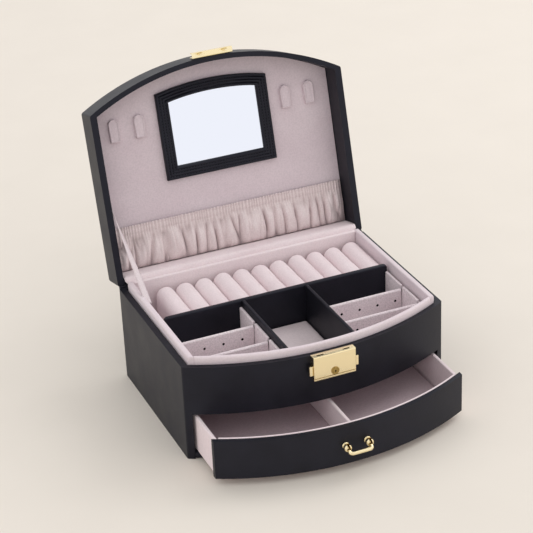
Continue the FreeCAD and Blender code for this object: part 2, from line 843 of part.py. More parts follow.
def hasp_plate():
    """A folded sheet channel on the lid, open upwards, over the lock."""
    low = rim_z + hasp_lift
    face_y = front_y - lock_seat
    outer_y = front_y - hasp_depth
    x_span = (-lock_half_width, lock_half_width)
    solid = block(x_span, (outer_y, face_y), (low, low + hasp_back_height))
    trough_y = (outer_y + hasp_sheet, face_y - hasp_sheet)
    solid = solid.cut(block(span(0, 2 * overall_width), trough_y, (low + hasp_sheet, lid_top_z)))
    notch_y = (outer_y - overcut, outer_y + hasp_sheet + lock_seat)
    solid = solid.cut(block(span(0, 2 * overall_width), notch_y, (low + hasp_lip_height, lid_top_z)))
    return rounded(solid, hasp_edge_radius,
                   lambda e: runs_along(e, 0) and near(middle(e).y, outer_y) and near(middle(e).z, low))


def hasp_hook(side):
    """A strap with a window, which drops through a slot in the top of the lock."""
    x = side * lock_slot_x
    top = rim_z + hasp_lift
    low = top - hook_strap_length
    y_span = span(front_y - hook_stand, hook_strap_depth)
    strap = block(span(x, hook_strap_width), y_span, (low, top))
    strap = rounded(strap, hook_corner_radius, lambda e: runs_along(e, 1) and near(middle(e).z, low))
    window_z = (low + hook_window_lift, low + hook_window_lift + hook_window_height)
    return strap.cut(block(span(x, hook_window_width), span(y_span[0], 2 * overcut), window_z))


def lid_pieces():
    pieces = lid_boards()
    pieces["mirror_frame"] = mirror_frame()
    pieces["mirror_glass"] = mirror_glass()
    pieces["necklace_hooks"] = necklace_hooks()
    pieces["pocket"] = pocket()
    pieces["pocket_band"] = pocket_band()
    pieces["hasp_plate"] = hasp_plate()
    pieces["hasp_hooks"] = Part.makeCompound([hasp_hook(-1), hasp_hook(1)])
    return pieces


# Lock
def lock_cover():
    """A pressed sheet box with two slots on top and a window at each side."""
    x_span = (-lock_half_width, lock_half_width)
    outer_y = front_y - lock_depth
    cover = block(x_span, (outer_y, front_y - lock_seat), (lock_bottom, lock_top))
    cover = rounded(cover, lock_edge_radius,
                    lambda e: near(middle(e).y, outer_y) and not near(middle(e).z, lock_bottom))
    bottom_edge = [e for e in cover.Edges if near(middle(e).y, outer_y) and near(middle(e).z, lock_bottom)]
    cover = cover.makeChamfer(lock_fold / 2, bottom_edge)
    inner_x = (-lock_half_width + lock_sheet, lock_half_width - lock_sheet)
    inner_z = (lock_bottom + lock_sheet, lock_top - lock_sheet)
    cover = cover.cut(block(inner_x, (outer_y + lock_sheet, front_y), inner_z))
    slot_y = span(front_y - hook_stand, lock_slot_depth)
    for side in (-1, 1):
        slot_x = span(side * lock_slot_x, lock_slot_width)
        cover = cover.cut(block(slot_x, slot_y, (lock_top - 2 * lock_sheet, lock_top + overcut)))
    window_y = span(button_axis_y, button_thickness + 2 * button_clearance)
    window_z = (button_bottom - button_clearance, button_bottom + button_height + button_clearance)
    cover = cover.cut(block(span(0, 2 * overall_width), window_y, window_z))
    start = FreeCAD.Vector(0, outer_y - overcut, key_height)
    return cover.cut(rod(key_sleeve_radius + key_clearance, start, FreeCAD.Vector(0, 1, 0), 2 * overcut))


def lock_plate():
    half = lock_half_width - lock_sheet - button_clearance
    low = lock_bottom + lock_sheet + button_clearance
    top = lock_top - lock_sheet - button_clearance
    return block((-half, half), (front_y - lock_seat - lock_sheet, front_y - lock_seat), (low, top))


def key_boss():
    """A flanged ring, pressed into the front sheet, that carries the key plug."""
    face_y = front_y - lock_depth
    back = FreeCAD.Vector(0, 1, 0)
    start = FreeCAD.Vector(0, face_y - key_boss_stand, key_height)
    flange = rod(key_boss_radius, start, back, key_boss_stand)
    sleeve = rod(key_sleeve_radius, start, back, key_boss_stand + key_sleeve_length)
    bore = rod(key_bore_radius, start, back, key_boss_stand + key_sleeve_length)
    return flange.fuse(sleeve).cut(bore).removeSplitter()


def key_plug():
    """A round plug with a keyhole in front and a small cam behind."""
    start = FreeCAD.Vector(0, front_y - lock_depth - key_boss_stand, key_height)
    back = FreeCAD.Vector(0, 1, 0)
    plug = rod(key_bore_radius - key_clearance, start, back, key_plug_length)
    cam_y = (start.y + key_plug_length - cam_thickness, start.y + key_plug_length)
    cam = block(span(0, cam_width), cam_y, (key_height, key_height + cam_reach))
    hole = rod(key_hole_radius, start, back, key_hole_depth)
    slot_z = (key_height - key_slot_length, key_height)
    slot = block(span(0, key_slot_width), (start.y, start.y + key_hole_depth), slot_z)
    return plug.fuse(cam).removeSplitter().cut(hole.fuse(slot))


def lock_button(side):
    """A flat push button that a flange keeps inside the side of the lock."""
    outer = lock_half_width + button_stand
    inner = outer - button_length
    flange_outer = lock_half_width - lock_sheet - button_clearance
    y_span = span(button_axis_y, button_thickness)
    z_span = (button_bottom, button_bottom + button_height)
    button = block((inner, outer), y_span, z_span)
    button = rounded(button, button_end_radius, lambda e: near(middle(e).x, outer))
    flange_z = (z_span[0] - button_flange_rise, z_span[1] + button_flange_rise)
    flange = block((flange_outer - button_flange_thickness, flange_outer), y_span, flange_z)
    button = button.fuse(flange).removeSplitter()
    if side < 0:
        return button.mirror(FreeCAD.Vector(0, 0, 0), FreeCAD.Vector(1, 0, 0))
    return button


# Cloth that joins the lid to the case
def opened(point_v, point_z):
    """Where a point of the shut lid lies once the lid is open, in Y and Z."""
    turn = math.radians(lid_angle)
    back = -point_v
    up = point_z - rim_z
    y = back * math.cos(turn) + up * math.sin(turn)
    z = -back * math.sin(turn) + up * math.cos(turn)
    return (rear_y + y, rim_z + z)


def band_in_side_view(points, thickness, x_span):
    """A strip of cloth that follows points in the side view."""
    upper = [FreeCAD.Vector(x_span[0], y, z) for y, z in points]
    lower = [FreeCAD.Vector(x_span[0], y, z - thickness) for y, z in reversed(points)]
    outline = upper + lower + [upper[0]]
    face = Part.Face(Part.makePolygon(outline))
    return face.extrude(FreeCAD.Vector(x_span[1] - x_span[0], 0, 0))


def hinge_lining():
    clear = lid_rear + strip_clearance + strip_thickness
    back = opened(clear, lining_z - strip_clearance)
    lip = opened(clear, rim_z + lid_rim_gap)
    front = (collar_outer_rear + strip_clearance, collar_top - strip_drop)
    half = collar_inner_half
    return band_in_side_view([front, lip, back], strip_thickness, (-half, half))


def ribbon_stay():
    """The flat ribbon that stops the lid, from the lid's lining to the left collar."""
    lining = lining_z - strip_clearance
    top_y, top_z = opened(ribbon_lid_reach, lining)
    low_y = rear_y - ribbon_case_reach
    low_z = collar_top - ribbon_case_drop
    rise = math.atan2(top_z - low_z, top_y - low_y)
    lining_rise = math.pi - math.radians(lid_angle)
    low_end = ribbon_lid_reach - ribbon_width / math.sin(lining_rise - rise)
    under_y, under_z = opened(low_end, lining)
    across_y = ribbon_width * math.sin(rise)
    across_z = ribbon_width * math.cos(rise)
    outline = [(low_y, low_z), (top_y, top_z), (under_y, under_z), (low_y + across_y, low_z - across_z)]
    x = -collar_inner_half + ribbon_wall_gap
    corners = [FreeCAD.Vector(x, y, z) for y, z in outline]
    face = Part.Face(Part.makePolygon(corners + [corners[0]]))
    return face.extrude(FreeCAD.Vector(ribbon_thickness, 0, 0))


def hinge_roll():
    """The rolled leather of the hinge, along the turning line."""
    length = overall_width - 2 * hinge_roll_inset
    start = FreeCAD.Vector(-length / 2, rear_y, rim_z)
    return rod(hinge_roll_radius, start, FreeCAD.Vector(1, 0, 0), length)


# All pieces, each in its place
def all_pieces():
    pieces = {}
    pieces.update(case_boards())
    pieces.update(case_levels())
    pieces.update(tray_collar())
    pieces["tray_floor"] = tray_floor()
    pieces["cross_divider"] = cross_divider()
    pieces["left_divider"] = long_divider(-1)
    pieces["right_divider"] = long_divider(1)
    pieces["centre_pad"] = centre_pad()
    pieces["ring_rolls"] = ring_rolls()
    pieces.update(rack_cheeks())
    pieces["left_rear_earring_panel"] = earring_panel(-1, rear_panel_y)
    pieces["left_front_earring_panel"] = earring_panel(-1, front_panel_y)
    pieces["right_rear_earring_panel"] = earring_panel(1, rear_panel_y)
    pieces["right_front_earring_panel"] = earring_panel(1, front_panel_y)
    pieces["lock_cover"] = lock_cover()
    pieces["lock_plate"] = lock_plate()
    pieces["key_boss"] = key_boss()
    pieces["key_plug"] = key_plug()
    pieces["lock_button_left"] = lock_button(-1)
    pieces["lock_button_right"] = lock_button(1)
    pieces["hinge_roll"] = hinge_roll()
    pieces["hinge_lining"] = hinge_lining()
    pieces["ribbon_stay"] = ribbon_stay()
    drawer = drawer_boards()
    drawer["handle_bail"] = handle_bail()
    for name, shape in drawer.items():
        pieces[name] = shape.translated(FreeCAD.Vector(0, -drawer_open, 0))
    for name, shape in lid_pieces().items():
        pieces[name] = shape.rotated(hinge_point, FreeCAD.Vector(-1, 0, 0), lid_angle)
    return pieces


os.makedirs("parts", exist_ok=True)
for piece_name, piece in all_pieces().items():
    piece.exportStep(os.path.join("parts", piece_name + ".step"))
    print(piece_name, len(piece.Solids), "solid(s),", round(piece.Volume / 1000, 2), "cm3")
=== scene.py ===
# %% [markdown]
# # A bow-front jewellery box
# The finished model of the case, the lid and the drawer comes in first, in metres and in its place.
# Every cell after this one gives one piece or one finish of the box its looks, and nothing moves
# a piece away from where the model has it.

# %% Load the model of the box
import bmesh
import bpy
import json
import math
from mathutils import Matrix, Vector, noise
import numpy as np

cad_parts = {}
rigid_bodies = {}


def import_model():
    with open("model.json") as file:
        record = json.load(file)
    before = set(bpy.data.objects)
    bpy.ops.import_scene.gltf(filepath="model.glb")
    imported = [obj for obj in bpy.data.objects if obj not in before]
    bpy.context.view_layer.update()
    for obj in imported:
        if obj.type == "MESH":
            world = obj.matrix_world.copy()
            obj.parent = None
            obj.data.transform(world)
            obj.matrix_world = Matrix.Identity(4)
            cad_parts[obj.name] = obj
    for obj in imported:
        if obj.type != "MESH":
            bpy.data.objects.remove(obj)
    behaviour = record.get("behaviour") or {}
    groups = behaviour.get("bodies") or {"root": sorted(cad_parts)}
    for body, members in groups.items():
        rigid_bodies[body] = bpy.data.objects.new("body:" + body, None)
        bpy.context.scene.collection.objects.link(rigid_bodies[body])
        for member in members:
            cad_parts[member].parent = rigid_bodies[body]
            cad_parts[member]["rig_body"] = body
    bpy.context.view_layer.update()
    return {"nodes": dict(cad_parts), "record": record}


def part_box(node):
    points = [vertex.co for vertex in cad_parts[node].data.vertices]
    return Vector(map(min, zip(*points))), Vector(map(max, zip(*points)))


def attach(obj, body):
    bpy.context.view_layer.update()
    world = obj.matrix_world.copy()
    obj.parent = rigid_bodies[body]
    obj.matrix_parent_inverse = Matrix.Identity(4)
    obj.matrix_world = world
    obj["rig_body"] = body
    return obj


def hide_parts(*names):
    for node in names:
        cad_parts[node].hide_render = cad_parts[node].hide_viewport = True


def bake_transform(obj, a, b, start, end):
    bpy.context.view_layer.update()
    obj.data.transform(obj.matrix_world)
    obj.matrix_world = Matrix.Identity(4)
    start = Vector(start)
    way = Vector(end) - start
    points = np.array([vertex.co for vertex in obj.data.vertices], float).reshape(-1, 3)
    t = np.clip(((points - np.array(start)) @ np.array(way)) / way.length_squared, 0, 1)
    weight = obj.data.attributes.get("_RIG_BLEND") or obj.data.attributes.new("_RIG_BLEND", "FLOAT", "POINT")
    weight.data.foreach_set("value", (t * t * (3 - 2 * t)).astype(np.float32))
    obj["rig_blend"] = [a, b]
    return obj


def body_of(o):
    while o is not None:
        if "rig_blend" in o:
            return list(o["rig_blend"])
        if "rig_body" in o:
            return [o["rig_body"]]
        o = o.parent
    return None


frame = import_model()
nodes = frame["nodes"]
scene = bpy.context.scene

# %% [markdown]
# ## The camera
# The box was photographed from the front left and from above, with a long lens. A camera is placed
# by its heading, its tilt and its roll, so that each can be read and changed by itself.

# %% Camera
CAMERA_PLACE = Vector((-0.5056, -1.19505, 0.7970))
CAMERA_HEADING = math.radians(22.31)
CAMERA_TILT = math.radians(27.58)
CAMERA_ROLL = math.radians(-2.64)
LENS_MM = 120.7

lens = bpy.data.cameras.new("camera")
lens.lens = LENS_MM
lens.sensor_width = 36.0
lens.clip_end = 20.0
camera = bpy.data.objects.new("camera", lens)
scene.collection.objects.link(camera)
turn = Matrix.Rotation(-CAMERA_HEADING, 4, "Z")
tilt = Matrix.Rotation(math.radians(90) - CAMERA_TILT, 4, "X")
roll = Matrix.Rotation(CAMERA_ROLL, 4, "Z")
camera.matrix_world = Matrix.Translation(CAMERA_PLACE) @ turn @ tilt @ roll
scene.camera = camera
print("camera", [round(value, 3) for value in CAMERA_PLACE])

# %% [markdown]
# ## Colours and nodes
# Colours are read off a swatch as the hex code of a screen. A render works with light, so one
# function turns each code into linear values. A second function adds one node to a material with
# its settings and its links, and every finish below is made with it.

# %% Helpers for finishes
MM = 0.001


def linear(code):
    """A screen colour such as cdbfc6 as linear red, green and blue."""
    values = []
    for start in (0, 2, 4):
        value = int(code[start:start + 2], 16) / 255
        values.append(value / 12.92 if value <= 0.04045 else ((value + 0.055) / 1.055) ** 2.4)
    return (*values, 1.0)


def add(material, kind, settings=None, links=None):
    """One more node in a material, with its sockets set or linked by name or number."""
    node = material.node_tree.nodes.new(kind)
    for name, value in (settings or {}).items():
        if name in node.inputs:
            node.inputs[name].default_value = value
        else:
            setattr(node, name, value)
    for name, source in (links or {}).items():
        material.node_tree.links.new(source, node.inputs[name])
    return node


def finish(name, **settings):
    """A new material with its surface shader, and the place that its patterns are read from."""
    material = bpy.data.materials.new(name)
    material.use_nodes = True
    shader = material.node_tree.nodes["Principled BSDF"]
    for socket, value in settings.items():
        shader.inputs[socket.replace("_", " ")].default_value = value
    place = add(material, "ShaderNodeTexCoord").outputs["Object"]
    return material, shader, place


def steps(material, factor, stops):
    """A colour ramp from a list of positions and colours."""
    ramp = add(material, "ShaderNodeValToRGB", links={"Fac": factor})
    elements = ramp.color_ramp.elements
    elements[0].position, elements[0].color = stops[0]
    elements[1].position, elements[1].color = stops[-1]
    for position, colour in stops[1:-1]:
        elements.new(position).color = colour
    return ramp.outputs["Color"]


def relief(material, shader, height, depth, strength=1.0):
    """Raises a pattern from the surface by a real depth in metres."""
    bump = add(material, "ShaderNodeBump", {"Strength": strength, "Distance": depth}, {"Height": height})
    material.node_tree.links.new(bump.outputs["Normal"], shader.inputs["Normal"])
    return bump


# %% [markdown]
# ## Black grained leather
# The case and the lid are boards wrapped in polyurethane leather: a cloth with a moulded skin. The
# skin has a fine pebble grain, which breaks its soft shine into small lights. The real pebbles are
# about 0.7 mm across and are drawn at 1.3 mm, the smallest that this view can show. Cells of a
# Voronoi pattern give the pebbles, and a noise gives the larger, uneven wrap of the skin.

# %% Leather finish
GRAIN_MM = 1.3
GRAIN_DEPTH_MM = 0.06

leather, shader, place = finish("moulded_leather", Specular_IOR_Level=0.36, Specular_Tint=linear("dadbf1"))
cells = add(leather, "ShaderNodeTexVoronoi", {"Scale": 1 / (GRAIN_MM * MM), "Randomness": 1.0}, {"Vector": place})
wrap = add(leather, "ShaderNodeTexNoise", {"Scale": 42.0, "Detail": 4.0}, {"Vector": place})
tone = steps(leather, wrap.outputs["Fac"], [(0.3, linear("121217")), (0.7, linear("1a1a21"))])
leather.node_tree.links.new(tone, shader.inputs["Base Color"])
shine = add(leather, "ShaderNodeMapRange", {"From Min": 0.3, "From Max": 0.7, "To Min": 0.42, "To Max": 0.5},
            {"Value": wrap.outputs["Fac"]})
leather.node_tree.links.new(shine.outputs["Result"], shader.inputs["Roughness"])
relief(leather, shader, cells.outputs["Distance"], GRAIN_DEPTH_MM * MM, 0.9)

# %% [markdown]
# ## Pink velvet
# The lining is a short-napped microfibre velvet, dusty pink with a little grey. Nap shows as a pale
# bloom where the surface turns away, which is the shader's sheen, and as soft clouds where it was
# brushed either way. One function makes lighter and darker copies of the one velvet, and their tones
# are painted light and shade. The paler copies stand for the light on the ring rolls, the rails, the
# floors, the racks, the hinge lining and the drawer's sides and lip. The darker copy stands for the
# shade inside the drawer, which lies half under the case. The nap is far finer than a pixel and is
# drawn about 1.4 mm coarse.

# %% Velvet finishes
NAP_MM = 1.4


def velvet_finish(name, dark, light, speckle):
    """Napped velvet between two tones, with a speckle of lighter and darker nap."""
    velvet, shader, place = finish(name, Roughness=0.9, Sheen_Weight=0.3, Sheen_Roughness=0.45,
                                   Sheen_Tint=linear("f6eef0"), Specular_IOR_Level=0.12)
    nap = add(velvet, "ShaderNodeTexNoise", {"Scale": 1 / (NAP_MM * MM), "Detail": 3.0}, {"Vector": place})
    cloud = add(velvet, "ShaderNodeTexNoise", {"Scale": 30.0, "Detail": 2.0}, {"Vector": place})
    tone = steps(velvet, cloud.outputs["Fac"], [(0.25, linear(dark)), (0.75, linear(light))])
    low = 1.0 - speckle
    speck = steps(velvet, nap.outputs["Fac"], [(0.32, (low, low, low, 1)), (0.62, (1, 1, 1, 1))])
    mix = add(velvet, "ShaderNodeMix", {"data_type": "RGBA", "blend_type": "MULTIPLY"})
    mix.inputs[0].default_value = 1.0
    velvet.node_tree.links.new(tone, mix.inputs[6])
    velvet.node_tree.links.new(speck, mix.inputs[7])
    velvet.node_tree.links.new(mix.outputs[2], shader.inputs["Base Color"])
    relief(velvet, shader, nap.outputs["Fac"], 0.12 * MM, 0.5)
    return velvet


velvet = velvet_finish("napped_velvet", "d5c4ca", "ddced3", 0.10)
# Paler copies of the lid's velvet are painted light, and the darker copy for the drawer is painted shade.
painted_light_velvet = velvet_finish("painted_light_napped_velvet", "ebdadd", "f2e4e6", 0.07)
drawer_painted_shade_velvet = velvet_finish("painted_shade_napped_velvet", "bdaab0", "c7b5ba", 0.12)
rail_painted_light_velvet = velvet_finish("rail_painted_light_napped_velvet", "dfd0d5", "e6d9dd", 0.07)
rack_painted_light_velvet = velvet_finish("speckled_painted_light_napped_velvet", "e6d8dc", "eee2e5", 0.22)

# %% [markdown]
# ## Pink satin
# The pocket and the ribbon are woven satin, thinner and shinier than the velvet. Long floats on its
# face give a soft streaked light, so its roughness is lower and its weave is fine. In the pocket the
# cloth lies doubled in its creases, where hardly any light gets in. Each point of the pocket stores
# how far it stands out, and a second satin is painted darker where that is low: painted shade in the
# creases.

# %% Satin finish
def satin_finish(name, dark, light):
    """Woven satin, with its shader and its tone, which is still to be linked."""
    cloth, shader, place = finish(name, Roughness=0.6, Sheen_Weight=0.25, Sheen_Roughness=0.4,
                                  Sheen_Tint=linear("f6ecee"), Specular_IOR_Level=0.3)
    weave = add(cloth, "ShaderNodeTexNoise", {"Scale": 1100.0, "Detail": 1.0}, {"Vector": place})
    tone = steps(cloth, weave.outputs["Fac"], [(0.3, linear(dark)), (0.7, linear(light))])
    relief(cloth, shader, weave.outputs["Fac"], 0.05 * MM, 0.5)
    return cloth, shader, tone


satin, shader, tone = satin_finish("woven_satin", "dccdd0", "e6d9db")
satin.node_tree.links.new(tone, shader.inputs["Base Color"])
crease_shade_painted_satin, shader, tone = satin_finish("crease_shade_painted_satin", "dccbcb", "e8dada")
# Painted shade: the satin is darker where the pocket stands out little.
crest = add(crease_shade_painted_satin, "ShaderNodeAttribute", {"attribute_name": "crest"})
shade = steps(crease_shade_painted_satin, crest.outputs["Fac"],
              [(0.1, (0.36, 0.32, 0.33, 1)), (0.34, (0.82, 0.79, 0.79, 1)), (0.62, (1, 1, 1, 1))])
depth = add(crease_shade_painted_satin, "ShaderNodeMix", {"data_type": "RGBA", "blend_type": "MULTIPLY"})
depth.inputs[0].default_value = 1.0
crease_shade_painted_satin.node_tree.links.new(tone, depth.inputs[6])
crease_shade_painted_satin.node_tree.links.new(shade, depth.inputs[7])
crease_shade_painted_satin.node_tree.links.new(depth.outputs[2], shader.inputs["Base Color"])

# %% [markdown]
# ## Pale gold plating
# The lock, the hasp and the handle are pressed and cast brass under a bright pale gold plating. A
# plated metal reflects in its own colour, and its tiny scratches widen the reflections a little. In
# corners and under edges the gold is painted dark brown where little open air is near: painted shade.
# The key's boss and plug have a darker, rougher gold.

# %% Gold finish
gold, shader, place = finish("gold_plated_brass", Metallic=1.0)
# Painted shade: the gold turns dark brown where little open air is near.
air = add(gold, "ShaderNodeAmbientOcclusion", {"samples": 12, "Distance": 2.2 * MM})
tone = steps(gold, air.outputs["AO"], [(0.3, linear("6e521f")), (0.55, linear("d9bd7c")), (0.85, linear("fbeabf"))])
gold.node_tree.links.new(tone, shader.inputs["Base Color"])
brushing = add(gold, "ShaderNodeTexNoise", {"Scale": 900.0, "Detail": 3.0}, {"Vector": place})
spread = add(gold, "ShaderNodeMapRange", {"From Min": 0.3, "From Max": 0.7, "To Min": 0.13, "To Max": 0.27},
             {"Value": brushing.outputs["Fac"]})
gold.node_tree.links.new(spread.outputs["Result"], shader.inputs["Roughness"])
# A darker, rougher gold for the key's boss and plug.
darker_gold, shader, place = finish("darker_gold_plated_brass", Metallic=1.0, Roughness=0.3,
                                    Base_Color=linear("b3975a"))

# %% [markdown]
# ## Mirror, felt and thread
# A mirror is clear glass with silver behind it, so all that the eye gets is a sharp reflection. The
# sheet under the case is thin black felt with a fuzzy, matt face. The stitches on the mirror's frame
# are a waxed black thread, a little shinier than the leather.

# %% Mirror, felt and thread finishes
silvered_glass, shader, place = finish("silvered_glass", Metallic=1.0, Roughness=0.02,
                                       Base_Color=linear("eef1fb"))
felt, shader, place = finish("pressed_felt", Roughness=0.95, Specular_IOR_Level=0.1, Base_Color=linear("1d1d1e"))
fuzz = add(felt, "ShaderNodeTexNoise", {"Scale": 1400.0, "Detail": 3.0}, {"Vector": place})
relief(felt, shader, fuzz.outputs["Fac"], 0.2 * MM, 0.8)
thread, shader, place = finish("waxed_thread", Roughness=0.38, Base_Color=linear("44444d"))
twist = add(thread, "ShaderNodeTexNoise", {"Scale": 2200.0, "Detail": 1.0}, {"Vector": place})
relief(thread, shader, twist.outputs["Fac"], 0.05 * MM, 0.6)

SLOT_FINISH = {
    "black_leather": leather,
    "pink_velvet": velvet,
    "pink_satin": satin,
    "pale_gold": gold,
    "mirror": silvered_glass,
    "black_felt": felt,
}
node_slot = {entry["node"]: entry["material_slot"] for entry in frame["record"]["subparts"]}
for name, piece in nodes.items():
    piece.data.materials.clear()
    piece.data.materials.append(SLOT_FINISH[node_slot[name]])
print("finishes:", [material.name for material in SLOT_FINISH.values()])

# %% [markdown]
# ## Wrapped boards
# A board that is wrapped in leather or velvet has no sharp edge: the skin rounds every corner by
# about a millimetre. Each board is a copy of the model's piece with its flat faces made whole and
# its edges bevelled, and the copy stands for the piece. The lock's cover also gets the groove that
# is pressed along its foot, and the velvet inside the drawer's front stands a little over the leather.

# %% Helpers for wrapped boards
FLAT_ANGLE = math.radians(1.0)
EDGE_ANGLE = math.radians(35.0)


def merged_copy(node):
    """A mesh of a model's piece with its corners joined and its flat faces whole."""
    mesh = bmesh.new()
    mesh.from_mesh(nodes[node].data)
    bmesh.ops.remove_doubles(mesh, verts=mesh.verts, dist=0.002 * MM)
    bmesh.ops.dissolve_limit(mesh, angle_limit=FLAT_ANGLE, verts=mesh.verts, edges=mesh.edges)
    return mesh


def linked(name, mesh):
    """A scene object from a mesh."""
    data = bpy.data.meshes.new(name)
    mesh.to_mesh(data)
    mesh.free()
    piece = bpy.data.objects.new(name, data)
    scene.collection.objects.link(piece)
    return piece


def new_piece(name, mesh, material, body=None, angle=EDGE_ANGLE):
    """A finished piece from a mesh, smooth but for its sharp edges, that rides on a body."""
    piece = linked(name, mesh)
    piece.data.materials.append(material)
    piece.data.shade_smooth()
    piece.data.set_sharp_from_angle(angle=angle)
    if body:
        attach(piece, body)
    return piece


def shaped(piece):
    """The mesh of an object with its modifiers carried out."""
    view = bpy.context.evaluated_depsgraph_get()
    return bpy.data.meshes.new_from_object(piece.evaluated_get(view))


def block(low, high):
    """A plain block between two corners in millimetres."""
    mesh = bmesh.new()
    bmesh.ops.create_cube(mesh, size=1.0)
    size = [b - a for a, b in zip(low, high)]
    middle = [(a + b) / 2 for a, b in zip(low, high)]
    bmesh.ops.scale(mesh, vec=[value * MM for value in size], verts=mesh.verts)
    bmesh.ops.translate(mesh, vec=[value * MM for value in middle], verts=mesh.verts)
    return mesh


def less(mesh, cutter):
    """A mesh with the space of a cutter taken out of it."""
    trial = linked("trial", mesh)
    tool = linked("cutter", cutter)
    cut = trial.modifiers.new("cut", "BOOLEAN")
    cut.operation = "DIFFERENCE"
    cut.solver = "EXACT"
    cut.object = tool
    done = bmesh.new()
    done.from_mesh(shaped(trial))
    bpy.data.objects.remove(trial)
    bpy.data.objects.remove(tool)
    return done


def round_edges(mesh, radius_mm, segments=3):
    """Rounds the edges between faces that meet at more than the edge angle."""
    sharp = [edge for edge in mesh.edges if len(edge.link_faces) == 2 and edge.calc_face_angle() > EDGE_ANGLE]
    bmesh.ops.bevel(mesh, geom=sharp, offset=radius_mm * MM, segments=segments, profile=0.5,
                    affect="EDGES", clamp_overlap=True, material=-1)


def wrapped(node, radius_mm, material=None, cutter=None):
    """A copy of a board with its edges rounded, which stands for the board."""
    mesh = merged_copy(node)
    if cutter:
        mesh = less(mesh, cutter)
    round_edges(mesh, radius_mm)
    body = body_of(nodes[node])[0]
    piece = new_piece(node + "_wrapped", mesh, material or SLOT_FINISH[node_slot[node]], body)
    piece.modifiers.new("even_shading", "WEIGHTED_NORMAL").keep_sharp = True
    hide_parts(node)
    return piece


# %% Wrap the loose boards
BOARD_ROUND = {
    "case_bottom": 0.9,
    "drawer_front": 1.0,
    "cross_divider": 0.5,
    "left_divider": 0.7,
    "right_divider": 0.7,
    "drawer_back": 0.7,
    "lid_lining": 0.4,
    "hasp_plate": 0.25,
    "hasp_hooks": 0.15,
    "lock_button_left": 0.25,
    "lock_button_right": 0.25,
}
for node, radius in BOARD_ROUND.items():
    wrapped(node, radius)
# The cheeks get the paler rack velvet, which is painted light.
for node in [name for name in nodes if name.endswith("_cheek")]:
    wrapped(node, 0.8, rack_painted_light_velvet)
# The drawer's sides, divider and lip get the palest velvet: painted light, so that the lip's top reads as a bright
# line.
for node, radius in {"drawer_left_side": 0.9, "drawer_right_side": 0.9, "drawer_divider": 1.1}.items():
    wrapped(node, radius, painted_light_velvet)
lip = wrapped("drawer_front_lining", 0.5, painted_light_velvet)
for vertex in lip.data.vertices:
    if vertex.co.z > 39.0 * MM:
        vertex.co.z += 1.4 * MM
wrapped("lock_cover", 0.3, None, block((-20.0, -97.0, 66.6), (20.0, -95.35, 67.3)))
for node, radius in {"key_boss": 0.25, "key_plug": 0.12}.items():
    wrapped(node, radius, darker_gold)
print("wrapped boards:", len(BOARD_ROUND) + 11)

# %% [markdown]
# ## One skin over several boards
# On the real box one sheet of leather is glued round all four walls, so no seam shows where the
# boards meet. A Boolean union joins the boards first, then their shared edges vanish and the outer
# edges are rounded. The lid is made the same way, with its top. Its boards are turned shut while
# they are joined, so that faces that touch lie in one plane to the last digit.

# %% Case and lid shells
LID_OPEN = math.radians(104.5)
HINGE = Vector((0, 0.08925, 0.085))
LID_SHUT = Matrix.Translation(HINGE) @ Matrix.Rotation(LID_OPEN, 4, "X") @ Matrix.Translation(-HINGE)


def shell(name, boards, radius_mm, turned=Matrix.Identity(4)):
    """Several boards under one skin, which stands for all of them."""
    copies = []
    for board in boards:
        mesh = merged_copy(board)
        bmesh.ops.transform(mesh, matrix=turned, verts=mesh.verts)
        for vertex in mesh.verts:
            vertex.co = [round(value, 6) for value in vertex.co]
        copies.append(linked(board + "_trial", mesh))
    trial, *others = copies
    for other in others:
        union = trial.modifiers.new(other.name, "BOOLEAN")
        union.operation = "UNION"
        union.solver = "EXACT"
        union.object = other
    data = shaped(trial)
    for finished in [trial, *others]:
        bpy.data.objects.remove(finished)
    mesh = bmesh.new()
    mesh.from_mesh(data)
    bmesh.ops.remove_doubles(mesh, verts=mesh.verts, dist=0.005 * MM)
    bmesh.ops.dissolve_limit(mesh, angle_limit=FLAT_ANGLE, verts=mesh.verts, edges=mesh.edges)
    bmesh.ops.transform(mesh, matrix=turned.inverted(), verts=mesh.verts)
    open_edges = sum(1 for edge in mesh.edges if len(edge.link_faces) != 2)
    round_edges(mesh, radius_mm)
    piece = new_piece(name, mesh, leather, body_of(nodes[boards[0]])[0])
    piece.modifiers.new("even_shading", "WEIGHTED_NORMAL").keep_sharp = True
    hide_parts(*boards)
    print(name, "faces", len(piece.data.polygons), "open edges", open_edges)
    return piece


shell("case_leather", ["front_apron", "case_left_wall", "case_right_wall", "case_rear_wall"], 1.2)
shell("lid_leather", ["lid_top", "lid_front_wall", "lid_left_wall", "lid_right_wall", "lid_rear_wall"], 0.8,
      LID_SHUT)

# %% [markdown]
# ## Swollen pads
# Foam under velvet presses its cover out until the cloth is tight, so no face of a pad is flat. A
# pad starts a little too small as a plain closed shape, gets an even net of faces from a voxel
# remesh, and is blown up by a short cloth simulation with pressure inside and no gravity. Points
# that are glued down don't move, and the whole movement is scaled down to a set limit. The
# simulation is made for things as large as cushions, so the pad is ten times its size in it.

# %% Helper for swollen pads
TRIAL_SCALE = 10.0
LAST_STEP = 20


